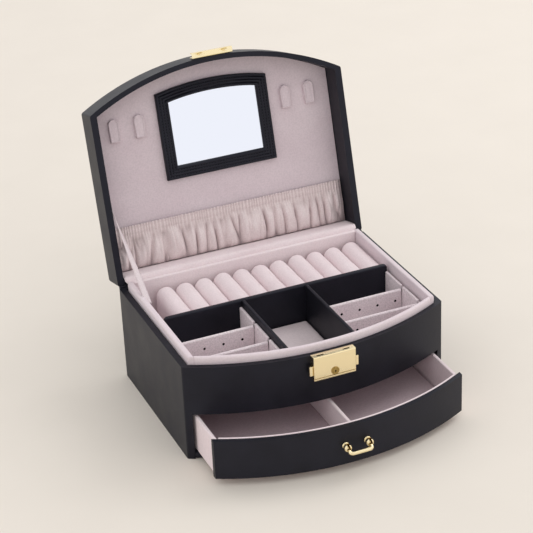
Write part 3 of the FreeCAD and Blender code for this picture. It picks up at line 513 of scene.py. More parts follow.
def swollen(mesh, voxel_mm, pressure, limit_mm, glued):
    """A closed shape after its filling has pressed its cover out."""
    trial = linked("trial", mesh)
    trial.data.transform(Matrix.Scale(TRIAL_SCALE, 4))
    remesh = trial.modifiers.new("even_net", "REMESH")
    remesh.mode = "VOXEL"
    remesh.voxel_size = voxel_mm * MM * TRIAL_SCALE
    start = shaped(trial)
    trial.modifiers.clear()
    trial.data = start
    moved = 0.0
    held = trial.vertex_groups.new(name="glued")
    held.add([v.index for v in start.vertices if glued(v.co / TRIAL_SCALE)], 1.0, "REPLACE")
    cloth = trial.modifiers.new("cover", "CLOTH")
    cloth.settings.use_pressure = True
    cloth.settings.uniform_pressure_force = pressure
    cloth.settings.vertex_group_mass = "glued"
    cloth.settings.effector_weights.gravity = 0.0
    cloth.point_cache.frame_start = 1
    cloth.point_cache.frame_end = LAST_STEP
    for number in range(1, LAST_STEP + 1):
        scene.frame_set(number)
    after = shaped(trial)
    limit = limit_mm * MM * TRIAL_SCALE
    moved = max((new.co - old.co).length for old, new in zip(start.vertices, after.vertices))
    for old, new in zip(start.vertices, after.vertices):
        old.co += (new.co - old.co) * min(1.0, limit / moved)
    scene.frame_set(1)
    done = bmesh.new()
    done.from_mesh(start)
    bmesh.ops.smooth_vert(done, verts=done.verts, factor=0.5, use_axis_x=True, use_axis_y=True, use_axis_z=True)
    bmesh.ops.smooth_vert(done, verts=done.verts, factor=0.5, use_axis_x=True, use_axis_y=True, use_axis_z=True)
    bmesh.ops.scale(done, vec=(1 / TRIAL_SCALE,) * 3, verts=done.verts)
    bpy.data.objects.remove(trial)
    print("pad: points", len(done.verts), "moved up to", round(moved / TRIAL_SCALE / MM, 2), "mm")
    return done


# %% [markdown]
# ## Ring rolls
# Eleven foam strips with round tops stand side by side, wrapped in velvet, and rings are pushed
# into the dark gaps between them. Their velvet is the palest copy, painted light for their lit tops.
# One roll is swollen, and its copies differ a little in height and length as hand-wrapped rolls do:
# three of them stand a millimetre higher.

# %% Ring rolls
ROLL_COUNT = 11
ROLL_PITCH_MM = 17.39
FIRST_ROLL_X_MM = -78.945
ROLL_HALF_MM = 8.3
ROLL_LOW_MM = 54.0
ROLL_TOP_MM = 84.3
ROLL_FRONT_MM = 17.8
ROLL_REAR_MM = 75.2
ROLL_LIFT_MM = (0.0, -0.3, 0.1, 1.0, 0.2, -0.2, 0.1, 1.1, 0.1, -0.1, 1.0)

start = block((-ROLL_HALF_MM, ROLL_FRONT_MM, ROLL_LOW_MM), (ROLL_HALF_MM, ROLL_REAR_MM, ROLL_TOP_MM))
top_z = ROLL_TOP_MM * MM - 1e-6
long_edges = [e for e in start.edges if all(v.co.z > top_z for v in e.verts)
              and abs(e.verts[0].co.x - e.verts[1].co.x) < 1e-6]
bmesh.ops.bevel(start, geom=long_edges, offset=(ROLL_HALF_MM - 0.2) * MM, segments=10, profile=0.5,
                affect="EDGES", clamp_overlap=True, material=-1)
rear_y = ROLL_REAR_MM * MM - 1e-6
rear_edges = [e for e in start.edges if all(v.co.y > rear_y for v in e.verts)
              and all(v.co.z > (ROLL_LOW_MM + 1) * MM for v in e.verts)]
bmesh.ops.bevel(start, geom=rear_edges, offset=3.2 * MM, segments=4, profile=0.5,
                affect="EDGES", clamp_overlap=True, material=-1)
roll_mesh = swollen(start, 1.1, 6.0, 0.7, lambda point: point.z < (ROLL_LOW_MM + 0.8) * MM)
for vertex in roll_mesh.verts:
    side = ROLL_PITCH_MM / 2 * MM - 0.02 * MM
    vertex.co.x = max(-side, min(side, vertex.co.x))
    vertex.co.y = max((ROLL_FRONT_MM - 0.25) * MM, vertex.co.y)
roll_data = bpy.data.meshes.new("roll")
roll_mesh.to_mesh(roll_data)
roll_mesh.free()
for number in range(ROLL_COUNT):
    mesh = bmesh.new()
    mesh.from_mesh(roll_data)
    lift = 1 + ROLL_LIFT_MM[number] / (ROLL_TOP_MM - ROLL_LOW_MM)
    for vertex in mesh.verts:
        wave = noise.noise(vertex.co * 45 + Vector((number * 7.3, 0, 0)))
        vertex.co.z = ROLL_LOW_MM * MM + (vertex.co.z - ROLL_LOW_MM * MM) * lift
        vertex.co += vertex.normal * wave * 0.25 * MM
    bmesh.ops.translate(mesh, vec=((FIRST_ROLL_X_MM + number * ROLL_PITCH_MM) * MM, 0, 0), verts=mesh.verts)
    piece = new_piece("ring_roll_%d" % (number + 1), mesh, painted_light_velvet, "case")
    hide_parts("ring_rolls")
bpy.data.meshes.remove(roll_data)
print("rolls:", ROLL_COUNT)

# %% [markdown]
# ## Floor pads
# The tray, the middle bay and the drawer are floored with velvet over thin foam. Their outlines
# follow the bow, so each starts as the model's piece, drawn in a little, and then swells.

# %% Floor pads
def floor_pad(node, voxel_mm, limit_mm, material):
    """A swollen pad in the place of a model's flat one, glued down at its underside."""
    low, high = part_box(node)
    mesh = merged_copy(node)
    middle = (Vector(low) + Vector(high)) / 2
    inset = [1 - 2 * 0.3 * MM / (high[axis] - low[axis]) for axis in range(3)]
    for vertex in mesh.verts:
        for axis in range(3):
            vertex.co[axis] = middle[axis] + (vertex.co[axis] - middle[axis]) * inset[axis]
    mesh = swollen(mesh, voxel_mm, 5.0, limit_mm, lambda point: point.z < low[2] + 0.9 * MM)
    piece = new_piece(node + "_swollen", mesh, material, body_of(nodes[node])[0])
    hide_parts(node)
    return piece


# The middle bay's and the tray's pads get paler velvet, which is painted light. The drawer's pad gets the darker
# velvet, painted shade for its part under the case.
floor_pad("centre_pad", 1.2, 0.5, painted_light_velvet)
floor_pad("drawer_pad", 1.9, 0.5, drawer_painted_shade_velvet)
floor_pad("tray_floor", 2.2, 0.3, rack_painted_light_velvet)

# %% [markdown]
# ## Padded rails
# The tray's rim is a board under velvet with a thin pad on top. The pad bulges over the leather edge
# of the case as far as the shut lid leaves it room. Level cuts give each rail some rows of points,
# the points of the outer face above the rim are pressed out in a smooth swell, and the top is
# raised into a crown.

# %% Padded rails
RIM_MM = 85.0
RAIL_TOP_MM = 91.0
BOW_CENTRE_MM = 142.80
RAIL_SWELL_MM = {"collar_front": 0.42, "collar_left": 0.5, "collar_right": 0.5, "collar_rear": 0.3}
RAIL_CROWN_MM = 0.7


def padded_rail(node, swell_mm):
    """A rail with rounded edges whose part above the rim swells outwards and up."""
    mesh = merged_copy(node)
    for number in range(9):
        height = (RIM_MM - 1.0 + 0.75 * number) * MM
        geometry = mesh.verts[:] + mesh.edges[:] + mesh.faces[:]
        bmesh.ops.bisect_plane(mesh, geom=geometry, dist=1e-7, plane_co=(0, 0, height), plane_no=(0, 0, 1))
    low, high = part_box(node)
    middle = (Vector(low) + Vector(high)) / 2
    for vertex in mesh.verts:
        level = (vertex.co.z / MM - RIM_MM) / (RAIL_TOP_MM - RIM_MM)
        if level <= -0.1:
            continue
        vertex.co.z += RAIL_CROWN_MM * MM * min(1.0, max(0.0, level)) ** 2
        if node == "collar_front":
            outward = Vector((vertex.co.x, vertex.co.y - BOW_CENTRE_MM * MM, 0))
            outer = outward.length > 225.6 * MM
        else:
            across = 0 if node in ("collar_left", "collar_right") else 1
            outward = Vector((0, 0, 0))
            outward[across] = middle[across] and math.copysign(1, middle[across])
            outer = (vertex.co[across] - middle[across]) * outward[across] > 0
        if outer:
            bulge = math.sin(math.pi * min(1.0, max(0.0, level + 0.1) / 1.1)) ** 0.7
            vertex.co += outward.normalized() * swell_mm * MM * bulge
    round_edges(mesh, 0.5)
    for number in range(2):
        top = [v for v in mesh.verts if v.co.z > (RIM_MM + 0.5) * MM]
        bmesh.ops.smooth_vert(mesh, verts=top, factor=0.4, use_axis_x=True, use_axis_y=True, use_axis_z=True)
    # The rear rail gets the palest velvet, and the other rails get one paler than the lid's: painted light on their
    # tops.
    cover = painted_light_velvet if node == "collar_rear" else rail_painted_light_velvet
    piece = new_piece(node + "_padded", mesh, cover, "case", math.radians(60))
    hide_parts(node)
    return piece


for node, swell in RAIL_SWELL_MM.items():
    padded_rail(node, swell)
print("rails:", len(RAIL_SWELL_MM))

# %% [markdown]
# ## Pierced earring panels
# Each panel is a card under thin foam and velvet, pierced by four holes for earring posts. Its cover
# is drawn into the holes, and its upper edge is soft, so its edges get a wider round than a board.
# Inside the holes and on the two ears that hang in the cheeks the faces get black felt, painted shade
# where little light gets in. The panels' paler rack velvet is painted light.

# %% Earring panels
HOLE_MARGIN = 2.0 * MM
EAR_REACH = 1.2 * MM
for node in [name for name in nodes if name.endswith("_earring_panel")]:
    piece = wrapped(node, 0.4, rack_painted_light_velvet)
    piece.data.materials.append(felt)
    low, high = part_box(node)
    dark = 0
    for polygon in piece.data.polygons:
        middle = polygon.center
        in_hole = (low[0] + HOLE_MARGIN < middle.x < high[0] - HOLE_MARGIN and abs(polygon.normal.y) < 0.75
                   and low[2] + HOLE_MARGIN < middle.z < high[2] - HOLE_MARGIN)
        on_ear = middle.x < low[0] + EAR_REACH or middle.x > high[0] - EAR_REACH
        # Painted shade: the faces in the holes and on the ears get black felt.
        if in_hole or on_ear:
            polygon.material_index = 1
            dark += 1
    print("painted_shade_felt shows on", dark, "faces")
    print(node, "faces", len(piece.data.polygons))

# %% [markdown]
# ## Places on the open lid
# Everything on the lid's lining is modelled flat first, with its width, its reach up from the hinge
# and its rise off the lining. One matrix then lays it on the open lid.

# %% Helper for the lid
LINING_DEPTH_MM = 20.6
along = Vector((0, -math.cos(LID_OPEN), math.sin(LID_OPEN)))
outward = Vector((0, -math.sin(LID_OPEN), -math.cos(LID_OPEN)))
corner = HINGE - outward * LINING_DEPTH_MM * MM
ON_LID = Matrix.Translation(corner) @ Matrix(((1, 0, 0, 0), (0, along.y, outward.y, 0),
                                              (0, along.z, outward.z, 0), (0, 0, 0, 1))) @ Matrix.Scale(MM, 4)


def on_lid(mesh):
    """Lays a flat mesh in millimetres on the open lid, in metres."""
    bmesh.ops.transform(mesh, matrix=ON_LID, verts=mesh.verts)
    return mesh


print("a point on the lid", [round(value, 4) for value in ON_LID @ Vector((0, 100, 0))])

# %% [markdown]
# ## Gathered pocket
# A strip of satin twice as wide as the lid is gathered on elastic along its top and sewn down along
# its foot and its sides. The elastic pulls it into dozens of fine pleats with a frilled edge, and
# below them the pleats run together into wide, uneven folds that billow and are pinched again at the
# foot. A fine grid is lifted point by point: a wave for the pleats, which fades below the elastic,
# and a folded noise for the wide folds, whose creases are sharp and whose crests are round.

# %% Pocket
POCKET_HALF_MM = 108.2
POCKET_FOOT_MM = 7.6
POCKET_TOP_MM = 46.0
BAND_FOOT_MM = 38.0
PLEAT_MM = 2.7
CLOTH_MM = 0.35


def pleat_phase(x):
    """How many pleats lie left of a place, uneven as elastic gathers them."""
    return x / PLEAT_MM + 0.9 * noise.noise(Vector((x / 13.0, 3.1, 0)))


def pocket_rise(x, reach):
    """How far the cloth stands off the lining at a place."""
    down = (BAND_FOOT_MM - reach) / (BAND_FOOT_MM - POCKET_FOOT_MM)
    pleat = 0.5 + 0.5 * math.sin(2 * math.pi * pleat_phase(x))
    if down <= 0:
        band = (reach - BAND_FOOT_MM) / (POCKET_TOP_MM - BAND_FOOT_MM)
        pinch = 0.35 * (math.exp(-((band - 0.12) / 0.1) ** 2) + math.exp(-((band - 0.8) / 0.1) ** 2))
        rise = 2.2 + 0.9 * pleat - pinch
    else:
        fade = math.exp(-down * 4.5)
        drift = 5.0 * noise.noise(Vector((x / 30.0, down * 0.8, 5.0)))
        first = abs(noise.noise(Vector(((x + drift) / 10.0, down * 0.55, 11.0))))
        second = abs(noise.noise(Vector(((x - drift) / 5.2, down * 0.9, 23.0))))
        folds = 6.2 * min(1.0, first * 2.4) ** 0.7 + 2.2 * min(1.0, second * 2.2) ** 0.8
        billow = math.sin(math.pi * min(1.0, 0.18 + 0.82 * down)) ** 0.6
        rise = fade * (2.2 + 0.9 * pleat) + (1 - fade) * (0.7 + folds * billow)
    side = min(1.0, (POCKET_HALF_MM - abs(x)) / 5.0)
    return 0.5 + (rise - 0.5) * max(0.15, side) ** 0.5


mesh = bmesh.new()
bmesh.ops.create_grid(mesh, x_segments=520, y_segments=44, size=1.0)
crest_layer = mesh.verts.layers.float.new("crest")
for vertex in mesh.verts:
    x = vertex.co.x * POCKET_HALF_MM
    share = vertex.co.y / 2 + 0.5
    reach = POCKET_FOOT_MM + share * (POCKET_TOP_MM - POCKET_FOOT_MM)
    rise = pocket_rise(x, reach)
    frill = 0.35 * math.sin(2 * math.pi * pleat_phase(x)) * max(0.0, share - 0.93) / 0.07
    sag = 0.6 * noise.noise(Vector((x / 9.0, 1.0, 40.0))) * max(0.0, 1 - share * 5)
    # The crest value sets the satin's painted shade: low points are painted darker.
    crest_band = 0.36 + (rise - 2.0) / 4.0
    blend = min(1.0, max(0.0, (share - 0.68) / 0.12))
    vertex[crest_layer] = rise / 8.0 * (1 - blend) + crest_band * blend
    vertex.co = Vector((x, reach + frill + sag, rise))
pocket = new_piece("gathered_pocket", on_lid(mesh), crease_shade_painted_satin, "lid", math.radians(180))
body = pocket.modifiers.new("cloth_thickness", "SOLIDIFY")
body.thickness = CLOTH_MM * MM
body.offset = -1.0
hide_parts("pocket", "pocket_band")

# %% [markdown]
# ## Necklace hooks
# Four tabs of velvet over card are folded down from the lining, for chains to hang on. Each has a
# round head, a flat body with a turned edge that catches light, and a foot where it is sewn. A
# circle and a block make the outline, and two insets make the turned edge.

# %% Necklace hooks
HOOK_X_MM = (-91.0, -68.2, 67.2, 89.6)
HOOK_HALF_MM = 4.6
HOOK_LOW_MM = 119.0
HOOK_TOP_MM = 139.0

mesh = bmesh.new()
for x in HOOK_X_MM:
    outline = []
    for number in range(13):
        angle = math.pi * number / 12
        point = (x + HOOK_HALF_MM * math.cos(angle), HOOK_TOP_MM - HOOK_HALF_MM + HOOK_HALF_MM * math.sin(angle), 0.0)
        outline.append(mesh.verts.new(point))
    outline.append(mesh.verts.new((x - HOOK_HALF_MM * 0.94, HOOK_LOW_MM, 0.0)))
    outline.append(mesh.verts.new((x + HOOK_HALF_MM * 0.94, HOOK_LOW_MM, 0.0)))
    face = mesh.faces.new(outline)
    wall = bmesh.ops.extrude_face_region(mesh, geom=[face])
    top = [item for item in wall["geom"] if isinstance(item, bmesh.types.BMFace)][0]
    bmesh.ops.translate(mesh, vec=(0, 0, 2.6), verts=top.verts[:])
    bmesh.ops.inset_region(mesh, faces=[top], thickness=0.5, depth=0.45, use_even_offset=True)
    bmesh.ops.inset_region(mesh, faces=[top], thickness=0.5, depth=0.0, use_even_offset=True)
    bmesh.ops.inset_region(mesh, faces=[top], thickness=0.35, depth=-0.5, use_even_offset=True)
    bmesh.ops.inset_region(mesh, faces=[top], thickness=1.2, depth=0.25, use_even_offset=True)
bmesh.ops.recalc_face_normals(mesh, faces=mesh.faces)
hooks = new_piece("velvet_hooks", on_lid(mesh), velvet, "lid", math.radians(75))
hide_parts("necklace_hooks")
print("hooks:", len(HOOK_X_MM))

# %% [markdown]
# ## Mirror frame
# The frame is leather over a padded card with an arched top. Three sewn grooves part it into four
# round ridges that meet in mitres at the corners. One face with the frame's outline is inset again
# and again, each time a little higher or lower, so that every ridge follows the outline and its
# corners are mitred by themselves. The last face is pushed down to the glass and taken away.

# %% Mirror frame
FRAME_HALF_MM = 51.0
FRAME_LOW_MM = 77.5
FRAME_SHOULDER_MM = 152.5
FRAME_CROWN_MM = 158.2
RIDGE_STEPS_MM = ((0.3, 0.6), (0.45, 0.45), (0.55, 0.15), (0.55, -0.15), (0.45, -0.45), (0.3, -0.6))
FRAME_WALL_MM = 3.4
OPENING_HALF_MM = 40.4
OPENING_LOW_MM = 88.6


def arch(half, low, shoulder, crown, points=16):
    """The corners of an outline with an arched top, starting at the lower left. The arch has no
    points near its two ends, so that an inset can carry the ends inwards past none of them."""
    rise = crown - shoulder
    radius = (half ** 2 + rise ** 2) / (2 * rise)
    sweep = 0.72 * math.asin(half / radius)
    corners = [Vector((-half, low, 0)), Vector((half, low, 0)), Vector((half, shoulder, 0))]
    for number in range(points + 1):
        angle = sweep - 2 * sweep * number / points
        corners.append(Vector((radius * math.sin(angle), crown - radius + radius * math.cos(angle), 0)))
    corners.append(Vector((-half, shoulder, 0)))
    return corners


mesh = bmesh.new()
outline = [mesh.verts.new(point) for point in arch(FRAME_HALF_MM, FRAME_LOW_MM, FRAME_SHOULDER_MM, FRAME_CROWN_MM)]
face = mesh.faces.new(outline)
wall = bmesh.ops.extrude_face_region(mesh, geom=[face])
top = [item for item in wall["geom"] if isinstance(item, bmesh.types.BMFace)][0]
bmesh.ops.delete(mesh, geom=[face], context="FACES_ONLY")
bmesh.ops.translate(mesh, vec=(0, 0, FRAME_WALL_MM), verts=top.verts[:])
for ridge in range(4):
    for inset, rise in RIDGE_STEPS_MM:
        rise = rise * (1.0 if ridge % 2 == 0 else 1.25)
        bmesh.ops.inset_region(mesh, faces=[top], thickness=inset, depth=rise, use_even_offset=True)
    if ridge == 0:
        GROOVE_MM = sum(inset for inset, rise in RIDGE_STEPS_MM)
half_now = max(v.co.x for v in top.verts)
low_now = min(v.co.y for v in top.verts)
for vertex in top.verts:
    vertex.co.x *= OPENING_HALF_MM / half_now
    if vertex.co.y < low_now + 1.0:
        vertex.co.y = OPENING_LOW_MM
edge = bmesh.ops.extrude_face_region(mesh, geom=[top])
floor_face = [item for item in edge["geom"] if isinstance(item, bmesh.types.BMFace)][0]
for vertex in floor_face.verts:
    vertex.co.z = 2.15
bmesh.ops.delete(mesh, geom=[floor_face, top], context="FACES")
bmesh.ops.recalc_face_normals(mesh, faces=mesh.faces)
frame_piece = new_piece("mirror_frame_leather", on_lid(mesh), leather, "lid", math.radians(70))
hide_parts("mirror_frame")
print("frame groove every", round(GROOVE_MM, 2), "mm, faces", len(frame_piece.data.polygons))

# %% [markdown]
# ## Stitches on the frame
# A row of short stitches holds the padding down along the second groove. One stitch is a small ball
# drawn out lengthways, and its copies are laid at even steps along the groove's line.

# %% Stitches
STITCH_MM = 1.7
STITCH_STEP_MM = 2.6
STITCH_RISE_MM = 3.8

mesh = bmesh.new()
count = 0
for inset in (GROOVE_MM, 2 * GROOVE_MM + 0.05, 3 * GROOVE_MM):
    line = arch(FRAME_HALF_MM - inset, FRAME_LOW_MM + inset, FRAME_SHOULDER_MM - inset, FRAME_CROWN_MM - inset)
    for first, second in zip(line, line[1:] + line[:1]):
        run = second - first
        number = max(1, round(run.length / STITCH_STEP_MM))
        heading = math.atan2(run.y, run.x)
        for step in range(number):
            middle = first + run * ((step + 0.5) / number)
            stitch = bmesh.ops.create_icosphere(mesh, subdivisions=1, radius=0.5)["verts"]
            bmesh.ops.scale(mesh, vec=(min(STITCH_MM, run.length), 0.5, 0.4), verts=stitch)
            bmesh.ops.rotate(mesh, matrix=Matrix.Rotation(heading, 3, "Z"), verts=stitch)
            bmesh.ops.translate(mesh, vec=(middle.x, middle.y, STITCH_RISE_MM), verts=stitch)
            count += 1
stitches = new_piece("frame_stitches", on_lid(mesh), thread, "lid", math.radians(180))
print("stitches:", count)

# %% [markdown]
# ## Stay ribbon
# A flat satin ribbon runs from the left edge of the lid's lining to the left rail and stops the lid
# from falling back. It is taut, and it turns by a quarter between its two sewn ends, so it looks
# thin at the top and wide at the foot. A long narrow grid is laid along the line with a slow turn.
# It joins the lid to the case, so it is blended between them. It is under ten millimetres wide.

# %% Stay ribbon
RIBBON_TOP = Vector((-107.6, 126.5, 154.6)) * MM
RIBBON_FOOT = Vector((-103.1, 46.5, 87.3)) * MM
RIBBON_WIDTH_MM = 5.2
RIBBON_TURN = (math.radians(8), math.radians(96))

mesh = bmesh.new()
bmesh.ops.create_grid(mesh, x_segments=60, y_segments=4, size=1.0)
run = (RIBBON_FOOT - RIBBON_TOP).normalized()
flat_side = Vector((1, 0, 0)).cross(run).normalized()
level_side = run.cross(flat_side).normalized()
for vertex in mesh.verts:
    share = vertex.co.x / 2 + 0.5
    across = vertex.co.y / 2 * RIBBON_WIDTH_MM * MM
    ease = share * share * (3 - 2 * share)
    turned = RIBBON_TURN[0] + (RIBBON_TURN[1] - RIBBON_TURN[0]) * ease
    side = flat_side * math.cos(turned) + level_side * math.sin(turned)
    sag = Vector((0.8 * math.sin(math.pi * share), 0, -0.7 * math.sin(math.pi * share))) * MM
    cup = side.cross(run) * (abs(vertex.co.y) ** 2) * 0.25 * MM
    vertex.co = RIBBON_TOP.lerp(RIBBON_FOOT, share) + side * across + sag + cup
ribbon = new_piece("stay_ribbon", mesh, satin, None, math.radians(180))
body = ribbon.modifiers.new("cloth_thickness", "SOLIDIFY")
body.thickness = CLOTH_MM * MM
body.offset = 0.0
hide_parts("ribbon_stay")
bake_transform(ribbon, "case", "lid", tuple(RIBBON_FOOT), tuple(RIBBON_TOP))
print("ribbon", round((RIBBON_TOP - RIBBON_FOOT).length / MM, 1), "mm long")

# %% [markdown]
# ## Hinge lining
# A strip of velvet hides the hinge: it is glued inside the rear wall of the lid, turns over the wall's
# edge in a soft roll and dips behind the rear rail. A grid follows eight points in the side view,
# joined by a smooth curve, and small waves keep it from lying dead flat.

# %% Hinge lining
LINING_LINE_MM = ((82.95, 88.2), (83.9, 86.9), (86.2, 87.0), (88.2, 89.4), (90.6, 92.0), (94.2, 91.9), (102.0, 89.9),
                  (110.3, 87.4))
LINING_HALF_MM = (103.6, 108.6)

curve = bpy.data.curves.new("lining_line", "CURVE")
curve.dimensions = "3D"
curve.resolution_u = 8
line = curve.splines.new("NURBS")
line.points.add(len(LINING_LINE_MM) - 1)
for point, (y, z) in zip(line.points, LINING_LINE_MM):
    point.co = (0, y * MM, z * MM, 1)
line.order_u = 3
line.use_endpoint_u = True
guide = bpy.data.objects.new("lining_line", curve)
scene.collection.objects.link(guide)
path = [vertex.co.copy() for vertex in shaped(guide).vertices]
bpy.data.objects.remove(guide)

mesh = bmesh.new()
bmesh.ops.create_grid(mesh, x_segments=90, y_segments=len(path) - 1, size=1.0)
for vertex in mesh.verts:
    share = vertex.co.y / 2 + 0.5
    spot = path[round(share * (len(path) - 1))]
    half = LINING_HALF_MM[0] + (LINING_HALF_MM[1] - LINING_HALF_MM[0]) * min(1.0, share * 2.2)
    x = vertex.co.x * half * MM
    wave = 0.35 * noise.noise(Vector((x * 60, share * 3, 8.0))) * math.sin(math.pi * share)
    vertex.co = Vector((x, spot.y, spot.z + wave * MM))
# The strip gets the palest velvet, which is painted light.
lining = new_piece("hinge_lining_velvet", mesh, painted_light_velvet, None, math.radians(180))
body = lining.modifiers.new("cloth_thickness", "SOLIDIFY")
body.thickness = 0.6 * MM
body.offset = -1.0
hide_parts("hinge_lining")
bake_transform(lining, "case", "lid", (0, 0.0840, 0.0900), (0, 0.0925, 0.0925))

# %% [markdown]
# ## Drawer handle
# Two turned rosettes are screwed through the drawer's front, and a loop of thick round bar swings
# between them. A rosette is one outline spun round its own axis: a flange, a neck and a cupped
# head. A cutter takes out the slot that the loop's eye turns in. The loop follows the corners of a
# curve with a round section, which thins at both ends to fit the slots.

# %% Rosettes
ROSETTE_OUTLINE_MM = ((0.0, 0.35), (2.7, 0.35), (3.0, 0.1), (3.05, -0.35), (2.8, -0.8), (2.3, -1.1), (2.2, -1.6),
                      (2.6, -2.1), (3.1, -2.7), (3.4, -3.5), (3.45, -4.4), (3.25, -5.3), (2.8, -6.1), (2.2, -6.6),
                      (1.6, -6.6), (1.2, -6.0), (1.0, -5.2), (0.0, -5.0))
HANDLE_Z_MM = 24.0
HANDLE_X_MM = 9.5
PIVOT_Y_MM = -135.755
FACE_Y_MM = -131.555
SLOT_HALF_MM = 1.05

for side in (-1, 1):
    mesh = bmesh.new()
    points = [mesh.verts.new((radius, y, 0)) for radius, y in ROSETTE_OUTLINE_MM]
    edges = [mesh.edges.new(pair) for pair in zip(points, points[1:])]
    bmesh.ops.spin(mesh, geom=points + edges, cent=(0, 0, 0), axis=(0, 1, 0), dvec=(0, 0, 0),
                   angle=2 * math.pi, steps=40, use_merge=True)
    bmesh.ops.remove_doubles(mesh, verts=mesh.verts, dist=1e-4)
    bmesh.ops.recalc_face_normals(mesh, faces=mesh.faces)
    bmesh.ops.scale(mesh, vec=(MM, MM, MM), verts=mesh.verts)
    bmesh.ops.translate(mesh, vec=(side * HANDLE_X_MM * MM, FACE_Y_MM * MM, HANDLE_Z_MM * MM), verts=mesh.verts)
    x = side * HANDLE_X_MM
    mesh = less(mesh, block((x - SLOT_HALF_MM, PIVOT_Y_MM - 9, HANDLE_Z_MM - 9),
                            (x + SLOT_HALF_MM, PIVOT_Y_MM + 1.6, HANDLE_Z_MM + 9)))
    piece = new_piece("rosette_left" if side < 0 else "rosette_right", mesh, gold, "drawer", math.radians(50))
    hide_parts("handle_posts")
    print(piece.name, "faces", len(piece.data.polygons))

# %% Handle loop
BAIL_REST = math.radians(64)
BAIL_BAR_MM = 1.55
BAIL_LINE_MM = ((-9.5, 0.0, 0.5), (-9.5, -1.7, 0.55), (-9.5, -2.9, 0.95), (-9.45, -4.0, 1.0), (-9.2, -5.0, 1.0),
                (-8.2, -5.8, 1.0), (-6.6, -6.05, 1.0), (0.0, -5.95, 1.0), (6.6, -6.05, 1.0), (8.2, -5.8, 1.0),
                (9.2, -5.0, 1.0), (9.45, -4.0, 1.0), (9.5, -2.9, 0.95), (9.5, -1.7, 0.55), (9.5, 0.0, 0.5))

curve = bpy.data.curves.new("loop_line", "CURVE")
curve.dimensions = "3D"
curve.resolution_u = 5
curve.bevel_depth = BAIL_BAR_MM * MM
curve.bevel_resolution = 7
curve.use_fill_caps = True
line = curve.splines.new("NURBS")
line.points.add(len(BAIL_LINE_MM) - 1)
for point, (x, z, thickness) in zip(line.points, BAIL_LINE_MM):
    point.co = (x * MM, 0, z * MM, 1)
    point.radius = thickness
line.order_u = 3
line.use_endpoint_u = True
guide = bpy.data.objects.new("loop_line", curve)
scene.collection.objects.link(guide)
mesh = bmesh.new()
mesh.from_mesh(shaped(guide))
bpy.data.objects.remove(guide)
bmesh.ops.remove_doubles(mesh, verts=mesh.verts, dist=0.01 * MM)
for side in (-1, 1):
    eye = bmesh.ops.create_uvsphere(mesh, u_segments=24, v_segments=12, radius=1.3 * MM)["verts"]
    bmesh.ops.scale(mesh, vec=(0.68, 1, 1), verts=eye)
    bmesh.ops.translate(mesh, vec=(side * HANDLE_X_MM * MM, 0, 0), verts=eye)
bmesh.ops.recalc_face_normals(mesh, faces=mesh.faces)
bmesh.ops.rotate(mesh, cent=(0, 0, 0), matrix=Matrix.Rotation(-BAIL_REST, 3, "X"), verts=mesh.verts)
bmesh.ops.translate(mesh, vec=(0, PIVOT_Y_MM * MM, HANDLE_Z_MM * MM), verts=mesh.verts)
loop = new_piece("handle_loop", mesh, gold, "handle", math.radians(60))
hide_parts("handle_bail")
print("loop faces", len(loop.data.polygons))

# %% [markdown]
# ## Floor and light
# The box stands on a plain cream surface that runs out of sight. A pale sky from all sides and one
# large soft lamp behind and to the right light it, as in a product studio, so shadows stay soft and
# fall to the left and the front. What the camera and the polished parts see of the sky is white at
# full strength, which is Light Path's work, while the light that it gives is plainer. A narrow black
# card hangs in front, as in a studio, only to be reflected: polished metal looks like metal when it
# has something dark to show.

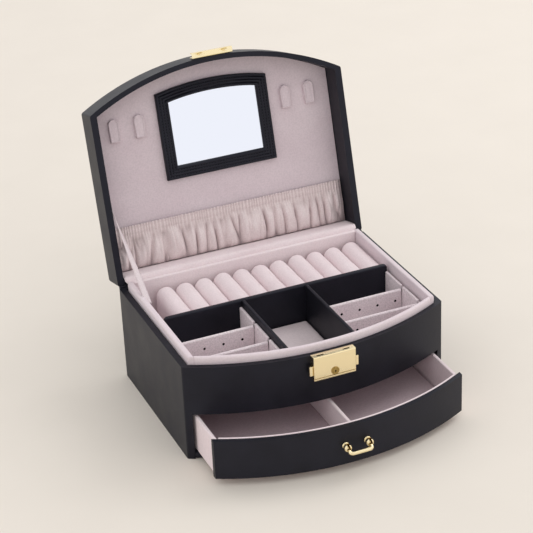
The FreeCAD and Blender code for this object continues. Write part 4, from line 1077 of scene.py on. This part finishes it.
# %% Floor
floor_finish, shader, place = finish("cream_paper", Roughness=0.9, Specular_IOR_Level=0.1)
mottle = add(floor_finish, "ShaderNodeTexNoise", {"Scale": 14.0, "Detail": 3.0}, {"Vector": place})
tone = steps(floor_finish, mottle.outputs["Fac"], [(0.3, linear("e7dfd5")), (0.7, linear("e9e1d7"))])
floor_finish.node_tree.links.new(tone, shader.inputs["Base Color"])
floor_mesh = bmesh.new()
bmesh.ops.create_grid(floor_mesh, x_segments=1, y_segments=1, size=6.0)
floor = linked("floor", floor_mesh)
floor.data.materials.append(floor_finish)

# %% Light
SKY_STRENGTH = 0.95
LAMP_WATTS = 14.0
LAMP_SIZE = 1.4
LAMP_PLACE = Vector((1.9, 0.3, 1.9))

world = bpy.data.worlds.new("studio")
world.use_nodes = True
background = world.node_tree.nodes["Background"]
background.inputs["Color"].default_value = linear("ffffff")
rays = add(world, "ShaderNodeLightPath")
seen = add(world, "ShaderNodeMath", {"operation": "MAXIMUM"},
           {0: rays.outputs["Is Camera Ray"], 1: rays.outputs["Is Glossy Ray"]})
level = add(world, "ShaderNodeMapRange", {"To Min": SKY_STRENGTH, "To Max": 1.0}, {"Value": seen.outputs[0]})
world.node_tree.links.new(level.outputs["Result"], background.inputs["Strength"])
scene.world = world

CARD_PLACE = Vector((-0.15, -1.1, 1.05))
card_finish, shader, place = finish("black_card", Roughness=1.0, Specular_IOR_Level=0.0, Base_Color=linear("141414"))
card_mesh = bmesh.new()
bmesh.ops.create_grid(card_mesh, x_segments=1, y_segments=1, size=1.0)
bmesh.ops.scale(card_mesh, vec=(0.6, 0.15, 1.0), verts=card_mesh.verts)
facing = (Vector((0, 0, 0.1)) - CARD_PLACE).to_track_quat("-Z", "Y").to_matrix().to_4x4()
bmesh.ops.transform(card_mesh, matrix=Matrix.Translation(CARD_PLACE) @ facing, verts=card_mesh.verts)
card = linked("black_card", card_mesh)
card.data.materials.append(card_finish)
card.visible_camera = False
card.visible_diffuse = False
card.visible_shadow = False

lamp_data = bpy.data.lights.new("soft_lamp", "AREA")
lamp_data.shape = "SQUARE"
lamp_data.size = LAMP_SIZE
lamp_data.energy = LAMP_WATTS
lamp = bpy.data.objects.new("soft_lamp", lamp_data)
lamp.location = LAMP_PLACE
lamp.rotation_mode = "QUATERNION"
lamp.rotation_quaternion = (Vector((0, 0, 0.1)) - LAMP_PLACE).to_track_quat("-Z", "Y")
scene.collection.objects.link(lamp)
scene.view_settings.view_transform = "Standard"
print("sky", SKY_STRENGTH, "lamp", LAMP_WATTS, "W")
